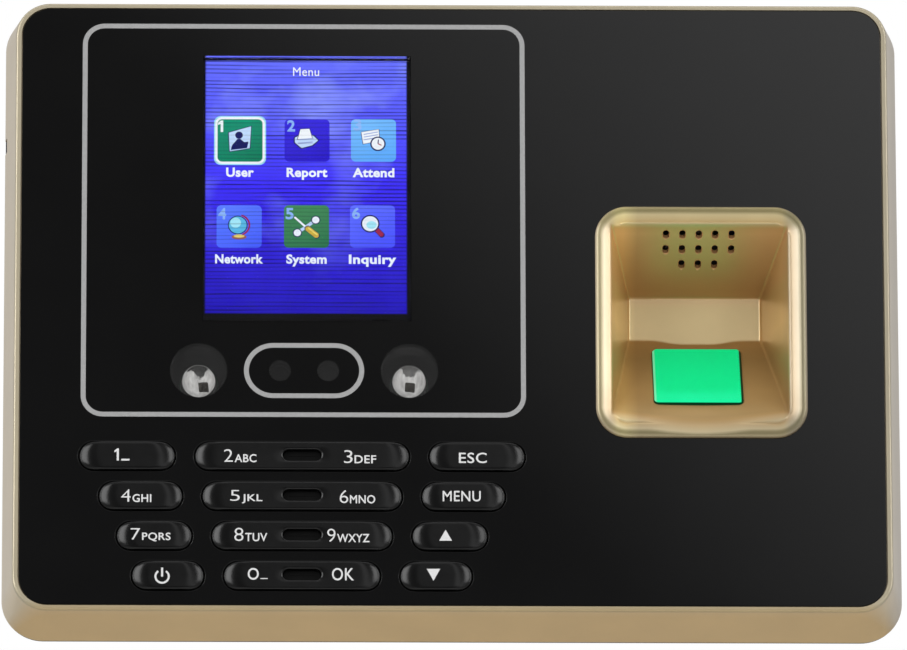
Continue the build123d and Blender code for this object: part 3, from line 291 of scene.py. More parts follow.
# Bay paint with painted light and shade throughout, set by depth and by place.
bay_paint_with_painted_light = paint(
    "champagne paint in the bay with painted light and shade",
    (0.62, 0.475, 0.25),
    (
        # By depth: painted shade on the rim's crest, a painted highlight on its inner bevel, painted shade
        # that deepens down the pocket's walls, and painted light on the back wall.
        (-1.17, (0.50, 0.55, 0.56)),
        (-0.85, (1.06, 1.15, 1.4)),
        (0.6, (0.96, 0.8, 0.63)),
        (16.5, (0.58, 0.45, 0.29)),
        (18.65, (0.58, 0.45, 0.29)),
        (18.93, (1.56, 1.75, 2.0)),
    ),
    (
        # By place: painted shade on the top rim band, the lower deck, the lip and the bottom rim band, a
        # slight warm shift on the upper walls, painted light on the left side, and cooler darker rim edges
        # at left and right.
        ("z", BAY_TOP - 1.1, BAY_TOP + 0.5, (0.79, 0.78, 0.66)),
        ("z inside", -2.0, -7.0, (0.74, 0.76, 0.73)),
        ("z", -17.0, -21.5, (0.90, 0.88, 0.86)),
        ("z", -23.0, -26.0, (0.76, 0.765, 0.74)),
        ("z inside", 6.0, 9.0, (1.06, 0.95, 1.0)),
        ("x", BAY_LEFT + 5.7, BAY_LEFT + 2.7, (1.40, 1.45, 1.35)),
        ("x", BAY_LEFT + 1.2, BAY_LEFT - 0.4, (0.85, 0.83, 0.97)),
        ("x", BAY_RIGHT - 1.2, BAY_RIGHT + 0.2, (0.82, 0.85, 0.97)),
    ),
    coat=0.15,
    metal=0.45,
)
panel_black = surface(
    "black acrylic", ((0.0012, 0.0012, 0.0013), (0.0018, 0.0018, 0.0019)), grain=60, rough=(0.03, 0.05),
    bump=0.01,
)
key_black = surface(
    "black key plastic", ((0.002, 0.002, 0.0021), (0.003, 0.003, 0.0031)), grain=500, rough=(0.16, 0.2),
    bump=0.04, Specular_IOR_Level=0.36,
)
cover_black = surface(
    "textured black ABS", ((0.012, 0.012, 0.0125), (0.022, 0.022, 0.023)), grain=1500, rough=(0.5, 0.62),
    bump=0.6, bump_scale=2600,
)
ink = surface(
    "silver ink", ((0.31, 0.31, 0.31), (0.37, 0.37, 0.37)), grain=2500, rough=(0.35, 0.5), Metallic=0.3
)
legend_ink = surface("white legend ink", ((0.56, 0.56, 0.56), (0.64, 0.64, 0.64)), 3000, (0.45, 0.6))
zinc = surface(
    "zinc plated sheet", ((0.50, 0.51, 0.52), (0.62, 0.63, 0.64)), grain=160, rough=(0.28, 0.42), bump=0.08,
    bump_scale=1800, stretch=(1, 1, 9), Metallic=1.0,
)
screw_steel = surface(
    "screw steel", ((0.33, 0.33, 0.34), (0.42, 0.42, 0.43)), grain=900, rough=(0.25, 0.4), Metallic=1.0
)
brass = surface(
    "turned brass", ((0.62, 0.44, 0.17), (0.72, 0.53, 0.22)), grain=900, rough=(0.2, 0.34),
    stretch=(1, 9, 1), Metallic=1.0,
)
chrome = surface(
    "vacuum plated cup", ((0.07, 0.07, 0.072), (0.12, 0.12, 0.122)), rough=(0.12, 0.2), bump=0.05,
    Metallic=1.0,
)
# Blackened steel for the screen's frame; the same dark low-gloss finish on the rocker slots' floors paints
# the shade inside the slots.
blackened_steel_and_slot_shade = surface(
    "blackened steel", ((0.001, 0.001, 0.001), (0.002, 0.002, 0.002)), grain=400, rough=(0.45, 0.6),
    Specular_IOR_Level=0.1,
)
chip = surface("moulded epoxy", ((0.012, 0.012, 0.013), (0.02, 0.02, 0.021)), rough=(0.4, 0.55), bump=0.3)
film = surface("flat cable film", ((0.62, 0.58, 0.48), (0.72, 0.68, 0.58)), grain=300, stretch=(14, 1, 1))
wrap = surface("heat shrink wrap", ((0.02, 0.07, 0.30), (0.03, 0.09, 0.36)), grain=220, rough=(0.2, 0.32))
paper = surface(
    "pressed paper cone", ((0.012, 0.011, 0.010), (0.022, 0.02, 0.018)), rough=(0.7, 0.85), bump=0.4
)
diffuser = surface("white diffuser", ((0.75, 0.77, 0.8), (0.82, 0.84, 0.87)), rough=(0.4, 0.5))
board = surface("green solder mask", ((0.008, 0.07, 0.03), (0.02, 0.14, 0.06)), 450, (0.2, 0.35))
clear = glass("clear acrylic", (0.99, 0.99, 0.99), ior=1.12)
smoked = surface(
    "smoked acrylic", ((0.032, 0.032, 0.032), (0.042, 0.042, 0.042)), grain=90, rough=(0.02, 0.04),
    bump=0.0, Alpha=0.3,
)
dark_smoked = surface(
    "dark smoked acrylic", ((0.016, 0.016, 0.016), (0.022, 0.022, 0.022)), grain=90, rough=(0.02, 0.04),
    bump=0.0, Alpha=0.72,
)
lens_coat = surface(
    "coated lens", ((0.05, 0.05, 0.055), (0.09, 0.09, 0.10)), grain=500, rough=(0.04, 0.08), bump=0.0,
    Coat_Weight=1.0, Coat_Roughness=0.03,
)

NODES_BY_MATERIAL = (
    (gold, "front_shell finger_bay"),
    (panel_black, "front_panel"),
    (cover_black, "rear_cover key_frame sensor_housing camera_holder_left camera_holder_right"),
    (ink, "frame_line camera_ring"),
    (zinc, "wall_bracket network_jack usb_port dome_array"),
    (blackened_steel_and_slot_shade, "lcd_frame"),
    (screw_steel, "rocker_shaft case_screws board_screws power_pin speaker_frame"),
    (brass, "board_standoffs"),
    (chrome, "ir_reflector_left ir_reflector_right"),
    (chip, "board_components power_jack"),
    (film, "lcd_flat_cable keypad_flat_cable sensor_flat_cable"),
    (wrap, "battery_pack"),
    (paper, "speaker_cone"),
    (diffuser, "lcd_backlight"),
    (board, "main_board imaging_board keypad_board sensor_board"),
    (clear, "display_window"),
    (smoked, "ir_window_left ir_window_right"),
    (dark_smoked, "camera_window_left camera_window_right"),
    (lens_coat, "camera_lens_left camera_lens_right"),
    (key_black, "key_1 key_4 key_7 key_power key_esc key_menu key_up key_down"),
    (key_black, "key_2_3 key_5_6 key_8_9 key_0_ok"),
)


# ---------------- screen, lamps and scanner glass
def window_mask(graph, x, z, centre, half, edge):
    """1 inside a rectangle, falling to 0 over an edge."""
    across = graph.minus(half[0], graph.gap(x, centre[0]))
    along = graph.minus(half[1], graph.gap(z, centre[1]))
    return graph.span(graph.math("MINIMUM", across, along), 0.0, edge)


ACTIVE_C, ACTIVE_HALF = (-31.07, 27.45), (21.6, 28.75)
LINE_PITCH = 0.88


def scan_lines(graph, colour, strength):
    """Darkens a colour along fine level lines, unevenly from line to line."""
    x, depth, z = graph.axes()
    wander = graph.noise(150, detail=2, stretch=(0.12, 1, 1))
    turns = graph.weigh(z, 2 * math.pi / LINE_PITCH, wander, 9.0)
    lines = graph.span(graph.math("SINE", turns), 0.1, 0.95)
    drift = graph.span(graph.noise(700, detail=2, stretch=(0.05, 1, 1)), 0.35, 0.65, 0.15, 1.0)
    dark = graph.times(graph.times(lines, drift), strength)
    return graph.mix(dark, colour, (0.0, 0.0, 0.02))


def lit(graph, shader, colour):
    """Makes a shader give off a colour and take almost no light."""
    graph.feed(shader, Emission_Color=colour, Emission_Strength=1.0)
    graph.feed(shader, Base_Color=(0.004, 0.004, 0.006, 1), Roughness=0.5, Specular_IOR_Level=0.1)


def screen_material():
    """Lit wallpaper: violet-blue, paler toward its top, with a soft cloud and fine level lines."""
    made, graph, shader = material("lit screen")
    x, depth, z = graph.axes()
    up = graph.span(z, ACTIVE_C[1] - ACTIVE_HALF[1], ACTIVE_C[1] + ACTIVE_HALF[1])
    colour = graph.mix(graph.span(up, 0.0, 0.55), (0.012, 0.004, 0.50), (0.046, 0.024, 1.0))
    colour = graph.mix(graph.span(up, 0.5, 1.0), colour, (0.14, 0.17, 1.1))
    cloud = graph.span(graph.noise(60, detail=3, stretch=(1, 1, 1.3)), 0.5, 0.72, 0.0, 0.6)
    colour = graph.mix(graph.times(cloud, up), colour, (0.38, 0.48, 1.1))
    colour = scan_lines(graph, colour, 0.8)
    mask = window_mask(graph, x, z, ACTIVE_C, ACTIVE_HALF, 0.35)
    lit(graph, shader, graph.mix(mask, (0.0005, 0.0005, 0.001), colour))
    return made


def glow(name, low, high, centre, half, angle=(0.0, 1.0), lines=0.45):
    """Self-lit colour that runs from low to high across a piece, with the screen's lines."""
    made, graph, shader = material(name)
    x, depth, z = graph.axes()
    across, up = graph.minus(x, centre[0]), graph.minus(z, centre[1])
    along = graph.weigh(across, angle[0] / half, up, angle[1] / half)
    ramp = graph.span(along, -1.0, 1.0)
    lit(graph, shader, scan_lines(graph, graph.mix(ramp, low, high), lines))
    return made


PRISM_X, PRISM_HALF = 52.3, 9.4
PRISM_ALONG = (4.2, 25.8)
PRISM_EDGE_OUT = 0.3


def prism_material():
    """Scanner glass lit green from inside, with a painted highlight on its upper and left bevels and a
    painted shadow along its lower and right sides.
    """
    made, graph, shader = material("lit prism")
    x, depth, z = graph.axes()
    behind, above = graph.minus(depth, BAY_DEEP), graph.minus(z, DECK_BACK_Z)
    along = graph.weigh(behind, -math.sin(DECK_TILT), above, -math.cos(DECK_TILT))
    outward = graph.weigh(behind, -math.cos(DECK_TILT), above, math.sin(DECK_TILT))
    colour = graph.mix(graph.span(along, *PRISM_ALONG), (0.002, 0.66, 0.215), (0.003, 0.76, 0.265))
    glow_low = graph.span(along, PRISM_ALONG[1] - 5.5, PRISM_ALONG[1] - 1.0, 0.0, 0.6, smooth=True)
    colour = graph.mix(glow_low, colour, (0.016, 0.88, 0.38))
    haze = graph.span(graph.noise(160, detail=2), 0.35, 0.7, 0.0, 0.25)
    colour = graph.mix(haze, colour, (0.002, 0.66, 0.20))
    # Painted highlight on the upper and left bevels.
    bevel_highlight_left = graph.span(x, PRISM_X - PRISM_HALF + 0.5, PRISM_X - PRISM_HALF + 0.3)
    bevel_highlight_top = graph.span(along, PRISM_ALONG[0] + 0.5, PRISM_ALONG[0] + 0.3)
    pale = graph.times(graph.most(bevel_highlight_left, bevel_highlight_top), 0.4)
    colour = graph.mix(pale, colour, (0.45, 0.95, 0.65))
    # Painted shadow in the gap round the glass, along its right side and its foot.
    gap_shadow_right = graph.span(x, PRISM_X + PRISM_HALF - 0.42, PRISM_X + PRISM_HALF - 0.3)
    gap_shadow_foot = graph.span(outward, PRISM_EDGE_OUT, PRISM_EDGE_OUT - 0.1)
    colour = graph.mix(graph.most(gap_shadow_right, gap_shadow_foot), colour, (0.001, 0.03, 0.01))
    base = graph.mix(0.65, colour, (0, 0.01, 0.003))
    graph.feed(shader, Base_Color=base, Roughness=graph.patches(500, 0.3, 0.4))
    graph.feed(shader, Emission_Color=colour, Emission_Strength=0.68, Specular_IOR_Level=0.06)
    return made


def lamp_material(name, centre, rise, dim):
    """Clear lamp epoxy with a painted, self-lit reflection of the cup: bright over its lower part with two
    horns, darker toward its top, with a painted highlight round the dome's edge.
    """
    made, graph, shader = material(name)
    x, depth, z = graph.axes()
    dx, dz = graph.minus(x, centre[0]), graph.minus(z, centre[1])
    wobble = graph.patches(760, -0.8, 0.8)
    # Painted reflection of the cup: bright below a wavy line with two horns rising at the sides.
    horns = graph.span(graph.gap(dx, 0.1), 0.7, 1.9, 0.15, rise, smooth=True)
    level = graph.minus(graph.math("ADD", horns, wobble), dz)
    bright = graph.span(level, -0.3, 0.7, smooth=True)
    streak = graph.patches(1200, 0.58, 1.0, (1, 1, 0.35))
    around = graph.math("SQRT", graph.math("ADD", graph.times(dx, dx), graph.times(dz, dz)))
    # Painted highlight: a pale line round the dome's edge.
    edge_highlight = graph.span(graph.gap(around, DOME_R), 0.22, 0.05, 0.0, 0.5)
    value = graph.times(graph.span(bright, 0.0, 1.0, dim, 1.0), streak)
    value = graph.most(value, edge_highlight)
    # Near black behind the dome's base.
    value = graph.times(value, graph.span(depth, LAMP_TIP + 2.9, LAMP_TIP + 3.2, 1.0, 0.02))
    colour = graph.mix(value, (0.0, 0.0, 0.0), (0.95, 0.94, 0.92))
    wear = graph.span(streak, 0.58, 1.0, 0.12, 0.05)
    graph.feed(shader, Base_Color=colour, Emission_Color=colour, Emission_Strength=0.85)
    graph.feed(shader, Roughness=wear, Coat_Weight=1.0)
    return made


def dress(node_names, look):
    for node_name in node_names.split():
        nodes[node_name].data.materials.clear()
        nodes[node_name].data.materials.append(look)


for node_look, names in NODES_BY_MATERIAL:
    dress(names, node_look)
dress("lcd_screen", screen_material())
dress("scanner_prism", prism_material())
dress("ir_lamp_left", lamp_material("left lamp epoxy with painted reflection", (LAMP_X[0], IMAGING_Z), 2.1, 0.06))
dress("ir_lamp_right", lamp_material("right lamp epoxy with painted reflection", (LAMP_X[1], IMAGING_Z), 2.5, 0.22))


# ---------------- mesh helpers
def piece(name, vertices, faces, look, body, slot=None, smooth=True):
    """New object from millimetre points, riding a body."""
    mesh = bpy.data.meshes.new(name)
    mesh.from_pydata([mm(*v) for v in vertices], [], faces)
    mesh.materials.append(look)
    mesh.polygons.foreach_set("use_smooth", [smooth] * len(mesh.polygons))
    mesh.update()
    made = bpy.data.objects.new(name, mesh)
    scene.collection.objects.link(made)
    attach(made, body)
    return made


def ring_faces(rings, count, start=0):
    """Quads between rings of equal point counts, seen from the front for rings that go inward."""
    faces = []
    for r in range(rings - 1):
        a = start + r * count
        b = a + count
        for i in range(count):
            j = (i + 1) % count
            faces.append((a + i, a + j, b + j, b + i))
    return faces


def prism_faces(count):
    """Both ends and the sides of a solid between two outlines."""
    faces = [tuple(range(count, 2 * count)), tuple(reversed(range(count)))]
    return faces + ring_faces(2, count)


def ring_solid(rings):
    """Points and faces of rings that follow one another."""
    return [p for ring in rings for p in ring], ring_faces(len(rings), len(rings[0]))


def stadium(centre, width, height, straight=24, curve=14):
    """Anticlockwise outline with round ends, starting at the lower right."""
    r = height / 2
    half = width / 2 - r
    points = []
    for side in (1, -1):
        for i in range(curve):
            a = side * -math.pi / 2 + math.pi * i / curve
            points.append((centre[0] + side * half + r * math.cos(a), centre[1] + r * math.sin(a)))
        for i in range(straight):
            along = side * 2 * half * i / straight
            points.append((centre[0] + side * half - along, centre[1] + side * r))
    return points


def box_outline(centre, half, r, straight=12, curve=8):
    """Anticlockwise rounded rectangle, starting at the lower right corner."""
    corners = ((1, -1, -90), (1, 1, 0), (-1, 1, 90), (-1, -1, 180))

    def on_corner(k, degrees):
        sx, sz, start = corners[k % 4]
        a = math.radians(start + degrees)
        cx, cz = centre[0] + sx * (half[0] - r), centre[1] + sz * (half[1] - r)
        return cx + r * math.cos(a), cz + r * math.sin(a)

    points = []
    for k in range(4):
        points.extend([on_corner(k, 90 * i / curve) for i in range(curve)])
        here, there = on_corner(k, 90), on_corner(k + 1, 0)
        for i in range(straight):
            t = i / straight
            points.append((blend(here[0], there[0], t), blend(here[1], there[1], t)))
    return points


def applied(made):
    """Mesh of an object as it stands, with its modifiers applied."""
    return bpy.data.meshes.new_from_object(made.evaluated_get(bpy.context.evaluated_depsgraph_get()))


def joined(parts):
    """One list of points and faces from several."""
    points, faces = [], []
    for more_points, more_faces in parts:
        start = len(points)
        points.extend(more_points)
        faces.extend([tuple(i + start for i in face) for face in more_faces])
    return points, faces


# ---------------- keys
KEY_EDGE = 0.26
EDGE_STEPS, TOP_STEPS = 5, 8
END_RUN = 3.6
END_DROP = 0.76
END_BOW = 0.55
KEY_GROW = 0.12
FLANGE_BACK, FLANGE_FRONT, FLANGE_OUT = 4.65, 3.65, 0.8
KEY_STEM, ROCKER_STEM = (2.0, 8.6), (1.6, 8.85)  # radius and back depth
ROCKER_STEM_IN = 8.0  # from the bar's end
STEM_SIDES, STEM_OVERLAP = 20, 0.2
NEARLY_NONE = 0.02  # size of the ring that closes a surface
WALL_SPREAD = (0.6, 0.3)  # depths between which a key's wall widens
SLOT_SIZE = (8.1, 2.45)
SLOT_RISE = 0.15
SLOT_LIP = (0.75, 0.38)
SLOT_SINK = 0.3
MOUTH_STEPS, MOUTH_CROWD = 14, 1.3
SLOT_WALL = (  # inset, depth
    (0.0, -0.3), (0.0, 0.3), (0.0, 0.9), (0.05, 1.05), (0.15, 1.12), (0.35, 1.15), (0.7, 1.15),
    (1.23, 1.15),
)
WELL_WALL = ((0.02, 1.1), (0.02, 0.35), (0.12, 0.3), (0.3, 0.32), (0.7, 0.34), (1.2, 0.34))


def proud(x, z, centre, width):
    """How far a key's top stands out at a point: flat, curving down toward both round ends."""
    half = KEY_H / 2
    sagitta = half - math.sqrt(max(0.0, half * half - (z - centre[1]) ** 2))
    past = abs(x - centre[0]) + END_BOW * sagitta - (width / 2 - END_RUN)
    if past <= 0:
        return KEY_PROUD
    return KEY_PROUD - END_DROP * (past / END_RUN) ** 2


def grown_ring(centre, width, grow, depth):
    """Outline of a key, grown all round and set at a depth."""
    return [(x, depth, z) for x, z in stadium(centre, width + 2 * grow, KEY_H + 2 * grow)]


def key_rings(centre, width, flange):
    """Rings from the key's underside round its flange and wall to the rounded edge of its top."""
    wall = (
        (flange, FLANGE_BACK), (flange, FLANGE_FRONT), (0.0, FLANGE_FRONT), (0.0, WALL_SPREAD[0]),
        (KEY_GROW, WALL_SPREAD[1]),
    )
    rings = [[(x, FLANGE_BACK, z) for x, z in stadium(centre, width - KEY_H, NEARLY_NONE)]]
    rings.extend([grown_ring(centre, width, grow, depth) for grow, depth in wall])
    for step in range(EDGE_STEPS + 1):
        a = math.pi / 2 * step / EDGE_STEPS
        inset = blend(-KEY_GROW, KEY_EDGE, 1 - math.cos(a))
        ring = []
        for x, z in stadium(centre, width - 2 * inset, KEY_H - 2 * inset):
            ring.append((x, -(proud(x, z, centre, width) - KEY_EDGE + KEY_EDGE * math.sin(a)), z))
        rings.append(ring)
    return rings


def stem(x, z, r, back):
    """Round stem behind a key, down to its back depth."""
    turns = [2 * math.pi * i / STEM_SIDES for i in range(STEM_SIDES)]
    front = FLANGE_BACK - STEM_OVERLAP
    rings = []
    for reach, depth in ((NEARLY_NONE, back), (r, back), (r, front), (NEARLY_NONE, front)):
        rings.append([(x + reach * math.cos(a), depth, z + reach * math.sin(a)) for a in turns])
    return ring_solid(rings)


def inset_rings(centre, profile):
    """Rings of the slot's outline, drawn in and set at a depth."""
    rings = []
    for inset, depth in profile:
        outline = stadium(centre, SLOT_SIZE[0] - 2 * inset, SLOT_SIZE[1] - 2 * inset)
        rings.append([(x, depth, z) for x, z in outline])
    return rings


def single_key(name, x, z, width):
    rings = key_rings((x, z), width, FLANGE_OUT)
    for step in range(1, TOP_STEPS + 1):
        inset = blend(KEY_EDGE, (KEY_H - NEARLY_NONE) / 2, step / TOP_STEPS)
        outline = stadium((x, z), width - 2 * inset, KEY_H - 2 * inset)
        rings.append([(px, -proud(px, pz, (x, z), width), pz) for px, pz in outline])
    parts = [ring_solid(rings), stem(x, z, *KEY_STEM)]
    made = piece(name + "_cap", *joined(parts), key_black, name, "key_plastic")
    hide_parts(name)


def rocker_key(name, z, width):
    centre = (KEYPAD_X, z)
    rings = key_rings(centre, width, 0.0)
    outer = stadium(centre, width - 2 * KEY_EDGE, KEY_H - 2 * KEY_EDGE)
    mouth_c = (KEYPAD_X, z + SLOT_RISE)
    mouth = stadium(mouth_c, SLOT_SIZE[0] + 2 * SLOT_LIP[0], SLOT_SIZE[1] + 2 * SLOT_LIP[1])
    for step in range(1, MOUTH_STEPS + 1):
        t = (step / MOUTH_STEPS) ** MOUTH_CROWD
        ring = []
        for (ax, az), (bx, bz) in zip(outer, mouth):
            px, pz = blend(ax, bx, t), blend(az, bz, t)
            ring.append((px, -proud(px, pz, centre, width), pz))
        rings.append(ring)
    for step in range(1, EDGE_STEPS + 1):
        a = math.pi / 2 * step / EDGE_STEPS
        lip_x, lip_z = [2 * lip * (1 - math.sin(a)) for lip in SLOT_LIP]
        sink = SLOT_SINK * (1 - math.cos(a))
        outline = stadium(mouth_c, SLOT_SIZE[0] + lip_x, SLOT_SIZE[1] + lip_z)
        rings.append([(px, -KEY_PROUD + sink, pz) for px, pz in outline])
    parts = [ring_solid(rings + inset_rings(mouth_c, SLOT_WALL))]
    for side in (-1, 1):
        parts.append(stem(KEYPAD_X + side * (width / 2 - ROCKER_STEM_IN), z, *ROCKER_STEM))
    made = piece(name + "_bar", *joined(parts), key_black, name, "key_plastic")
    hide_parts(name)
    # A flat, dark, low-gloss floor set in the slot paints the shade inside it.
    slot_shade_floor = ring_solid(inset_rings(mouth_c, WELL_WALL))
    piece(name + "_shade_floor", *slot_shade_floor, blackened_steel_and_slot_shade, name, "key_plastic")


CUTOUT_GAP = 0.35
LIP_PROFILE = (  # distance outward, depth
    (0.16, 0.004), (0.12, -0.008), (0.06, -0.009), (0.02, 0.02), (0.0, 0.08), (0.0, 0.2), (0.0, 0.5),
)


def cutout_lip(name, centre, width):
    """Fine raised edge of the panel round a key."""
    rings = [grown_ring(centre, width, CUTOUT_GAP + out, depth) for out, depth in LIP_PROFILE]
    piece("panel_lip_" + name[4:], *ring_solid(rings), panel_black, "case", "black_gloss")


SINGLE_KEYS = ((-1, "key_1 key_4 key_7 key_power"), (1, "key_esc key_menu key_up key_down"))
for side, column in SINGLE_KEYS:
    for key_name, reach, key_z, key_width in zip(column.split(), KEY_REACH, ROW_Z, KEY_W):
        single_key(key_name, KEYPAD_X + side * reach, key_z, key_width)
        cutout_lip(key_name, (KEYPAD_X + side * reach, key_z), key_width)
for key_name, key_z, key_width in zip(("key_2_3", "key_5_6", "key_8_9", "key_0_ok"), ROW_Z, ROCKER_W):
    rocker_key(key_name, key_z, key_width)
    cutout_lip(key_name, (KEYPAD_X, key_z), key_width)


# ---------------- lettering
LETTER_THICK, LETTER_SPACING, PART_GAP = 0.012, 1.06, 0.1


def letters(parts, bold):
    """Points and faces of a line of text from parts of (words, size, shift up, stretch, weight)."""
    points, faces, pen = [], [], 0.0
    for words, size, lift, wide, weight in parts:
        data = bpy.data.curves.new("words", "FONT")
        data.body = words
        data.size = size
        data.offset = (bold + weight) * size
        data.extrude = LETTER_THICK
        data.resolution_u = 4
        data.space_character = LETTER_SPACING
        holder = bpy.data.objects.new("words", data)
        scene.collection.objects.link(holder)
        bpy.context.view_layer.update()
        mesh = applied(holder)
        start = len(points)
        low = min(v.co.x for v in mesh.vertices)
        high = max(v.co.x for v in mesh.vertices)
        for v in mesh.vertices:
            points.append(((v.co.x - low) * wide + pen, v.co.y + lift, v.co.z))
        faces.extend([tuple(i + start for i in p.vertices) for p in mesh.polygons])
        pen += (high - low) * wide + PART_GAP * size
        bpy.data.objects.remove(holder)
        bpy.data.curves.remove(data)
        bpy.data.meshes.remove(mesh)
    return points, faces


def lettering(name, parts, box, depth, look, body, slot=None, bold=0.0, baseline=False):
    """Text fitted into a box (low x, high x, low z, high z); with a baseline, tails hang below it."""
    points, faces = letters(parts, bold)
    xs, zs = [p[0] for p in points], [p[1] for p in points]
    low_x, high_x, low_z, high_z = min(xs), max(xs), min(zs), max(zs)
    if baseline:
        low_z = 0.0
    fitted = []
    for x, z, out in points:
        px = blend(box[0], box[1], (x - low_x) / (high_x - low_x))
        pz = blend(box[2], box[3], (z - low_z) / (high_z - low_z))
        fitted.append((px, depth - out, pz))
    piece(name, fitted, faces, look, body, slot, smooth=False)


LEGEND_DEPTH = -KEY_PROUD - 0.004
DIGIT = (1.0, 0, 1.3, -0.009)
SMALL = (0.6, 0, 1.1, 0.014)
BAR = (1.0, 0.16, 1.0, 0.0)
WHOLE = (1.0, 0, 1.0, 0.0)
KEY_WORD = (1.0, 0, 1.0, 0.008)
LEGENDS = (
    ("4", "key_4", (("4", *DIGIT), ("GHI", *SMALL)), (-70.1, -63.7, -44.55, -41.7)),
    ("7", "key_7", (("7", *DIGIT), ("PQRS", *SMALL)), (-68.05, -59.6, -53.3, -50.35)),
    ("2", "key_2_3", (("2", *DIGIT), ("ABC", *SMALL)), (-48.4, -41.5, -35.6, -32.7)),
    ("3", "key_2_3", (("3", *DIGIT), ("DEF", *SMALL)), (-23.0, -16.2, -35.75, -32.85)),
    ("5", "key_5_6", (("5", *DIGIT), ("JKL", *SMALL)), (-47.05, -40.25, -44.75, -41.8)),
    ("6", "key_5_6", (("6", *DIGIT), ("MNO", *SMALL)), (-23.9, -16.4, -44.7, -41.75)),
    ("8", "key_8_9", (("8", *DIGIT), ("TUV", *SMALL)), (-46.15, -39.2, -53.2, -50.2)),
    ("9", "key_8_9", (("9", *DIGIT), ("WXYZ", *SMALL)), (-26.55, -17.6, -53.35, -50.35)),
    ("0", "key_0_ok", (("O", *KEY_WORD), ("_", *BAR)), (-43.3, -39.05, -61.75, -59.1)),
    ("ok", "key_0_ok", (("OK", *KEY_WORD),), (-25.55, -20.9, -61.85, -59.05)),
    ("esc", "key_esc", (("ESC", *KEY_WORD),), (1.3, 7.2, -35.65, -33.3)),
    ("menu", "key_menu", (("MENU", *KEY_WORD),), (-2.15, 5.9, -44.2, -41.85)),
)
for tag, body_name, parts, legend_box in LEGENDS:
    lettering("legend_" + tag, parts, legend_box, LEGEND_DEPTH, legend_ink, body_name)


def prism_shape(outline, depth, thick=0.02):
    """Flat shape with a small thickness from an anticlockwise outline."""
    points = [(x, depth, z) for x, z in outline] + [(x, depth - thick, z) for x, z in outline]
    return points, prism_faces(len(outline))


def arc_band(centre, r_out, r_in, start, end, depth, count=36):
    """Part of a flat ring between two angles in degrees."""
    turns = [math.radians(blend(start, end, i / count)) for i in range(count + 1)]
    outer, inner = [
        [(centre[0] + r * math.cos(a), centre[1] + r * math.sin(a)) for a in turns] for r in (r_out, r_in)
    ]
    quads = [[outer[i], outer[i + 1], inner[i + 1], inner[i]] for i in range(count)]
    return joined([prism_shape(quad, depth) for quad in quads])


def legend_mark(tag, shapes):
    piece("legend_" + tag, *joined(shapes), legend_ink, "key_" + tag, smooth=False)


def mark(*outline):
    return prism_shape(outline, LEGEND_DEPTH)


POWER_C = (-61.35, -61.05)
legend_mark(
    "1",
    [
        mark(
            (-71.05, -35.3), (-70.6, -35.3), (-70.6, -32.6), (-70.95, -32.6),
            (-71.55, -33.05), (-71.55, -33.5), (-71.05, -33.2),
        ),
        mark((-70.1, -35.3), (-68.35, -35.3), (-68.35, -34.9), (-70.1, -34.9)),
    ],
)
legend_mark(
    "power",
    [
        arc_band(POWER_C, 1.62, 1.2, 125, 415, LEGEND_DEPTH),
        mark((-61.57, -61.1), (-61.13, -61.1), (-61.13, -59.1), (-61.57, -59.1)),
    ],
)
legend_mark("up", [mark((-2.9, -52.95), (-0.2, -52.95), (-1.55, -50.5))])
legend_mark("down", [mark((-4.13, -61.85), (-2.7, -59.2), (-5.55, -59.2))])


# ---------------- finger bay
RIM_C, RIM_HALF, RIM_R = (52.85, -3.7), (22.45, 25.9), 6.8
LEFT_TAPER, RIGHT_TAPER = 0.2211, 0.2737
LIP_MID, LIP_HALF, LIP_Z, LIP_BOW = 52.5, 14.0, -23.3, 1.7
LIP_DEPTH, LIP_SLOPE = 1.6, 0.4667
SCOOP_DEEP, SCOOP_HALF, SCOOP_FOOT, SCOOP_FADE = 0.75, 7.0, -7.0, 5.0
CEILING_ROUND, SIDE_ROUND, WALL_ROUND, RIM_ROUND = 0.5, 1.0, 1.2, 0.16
LIP_ROUND, DECK_ROUND, FLOOR_ROUND = 1.3, 0.35, 0.9
RIM_LEAST_R = 1.2
RIM_STRAIGHT, RIM_CURVE, CORE_RINGS = 84, 16, 44
INNER_FROM = 9.0  # inset at which the rings start to shrink evenly


def smooth_max(a, b, k):
    h = np.clip(0.5 + 0.5 * (a - b) / k, 0, 1)
    return b + (a - b) * h + k * h * (1 - h)


def smooth_min(a, b, k):
    return -smooth_max(-a, -b, k)


RIM_INSETS = (0, 0, 0.06, 0.14, 0.25, 0.4, 0.55, 0.75, 0.95, 1.15, 1.35, 1.6, 1.85, 2.1, 2.35, 2.6, 2.8)
RIM_S = (0.0, 0.06, 0.2, 0.4, 0.65, 0.95, 1.15, 1.35, 2.2, 3.1, 3.5, 4.5)
RIM_D = (-0.3, -0.62, -0.9, -1.07, -1.17, -1.2, -1.19, -1.12, -0.68, -0.2, -0.1, -6.0)


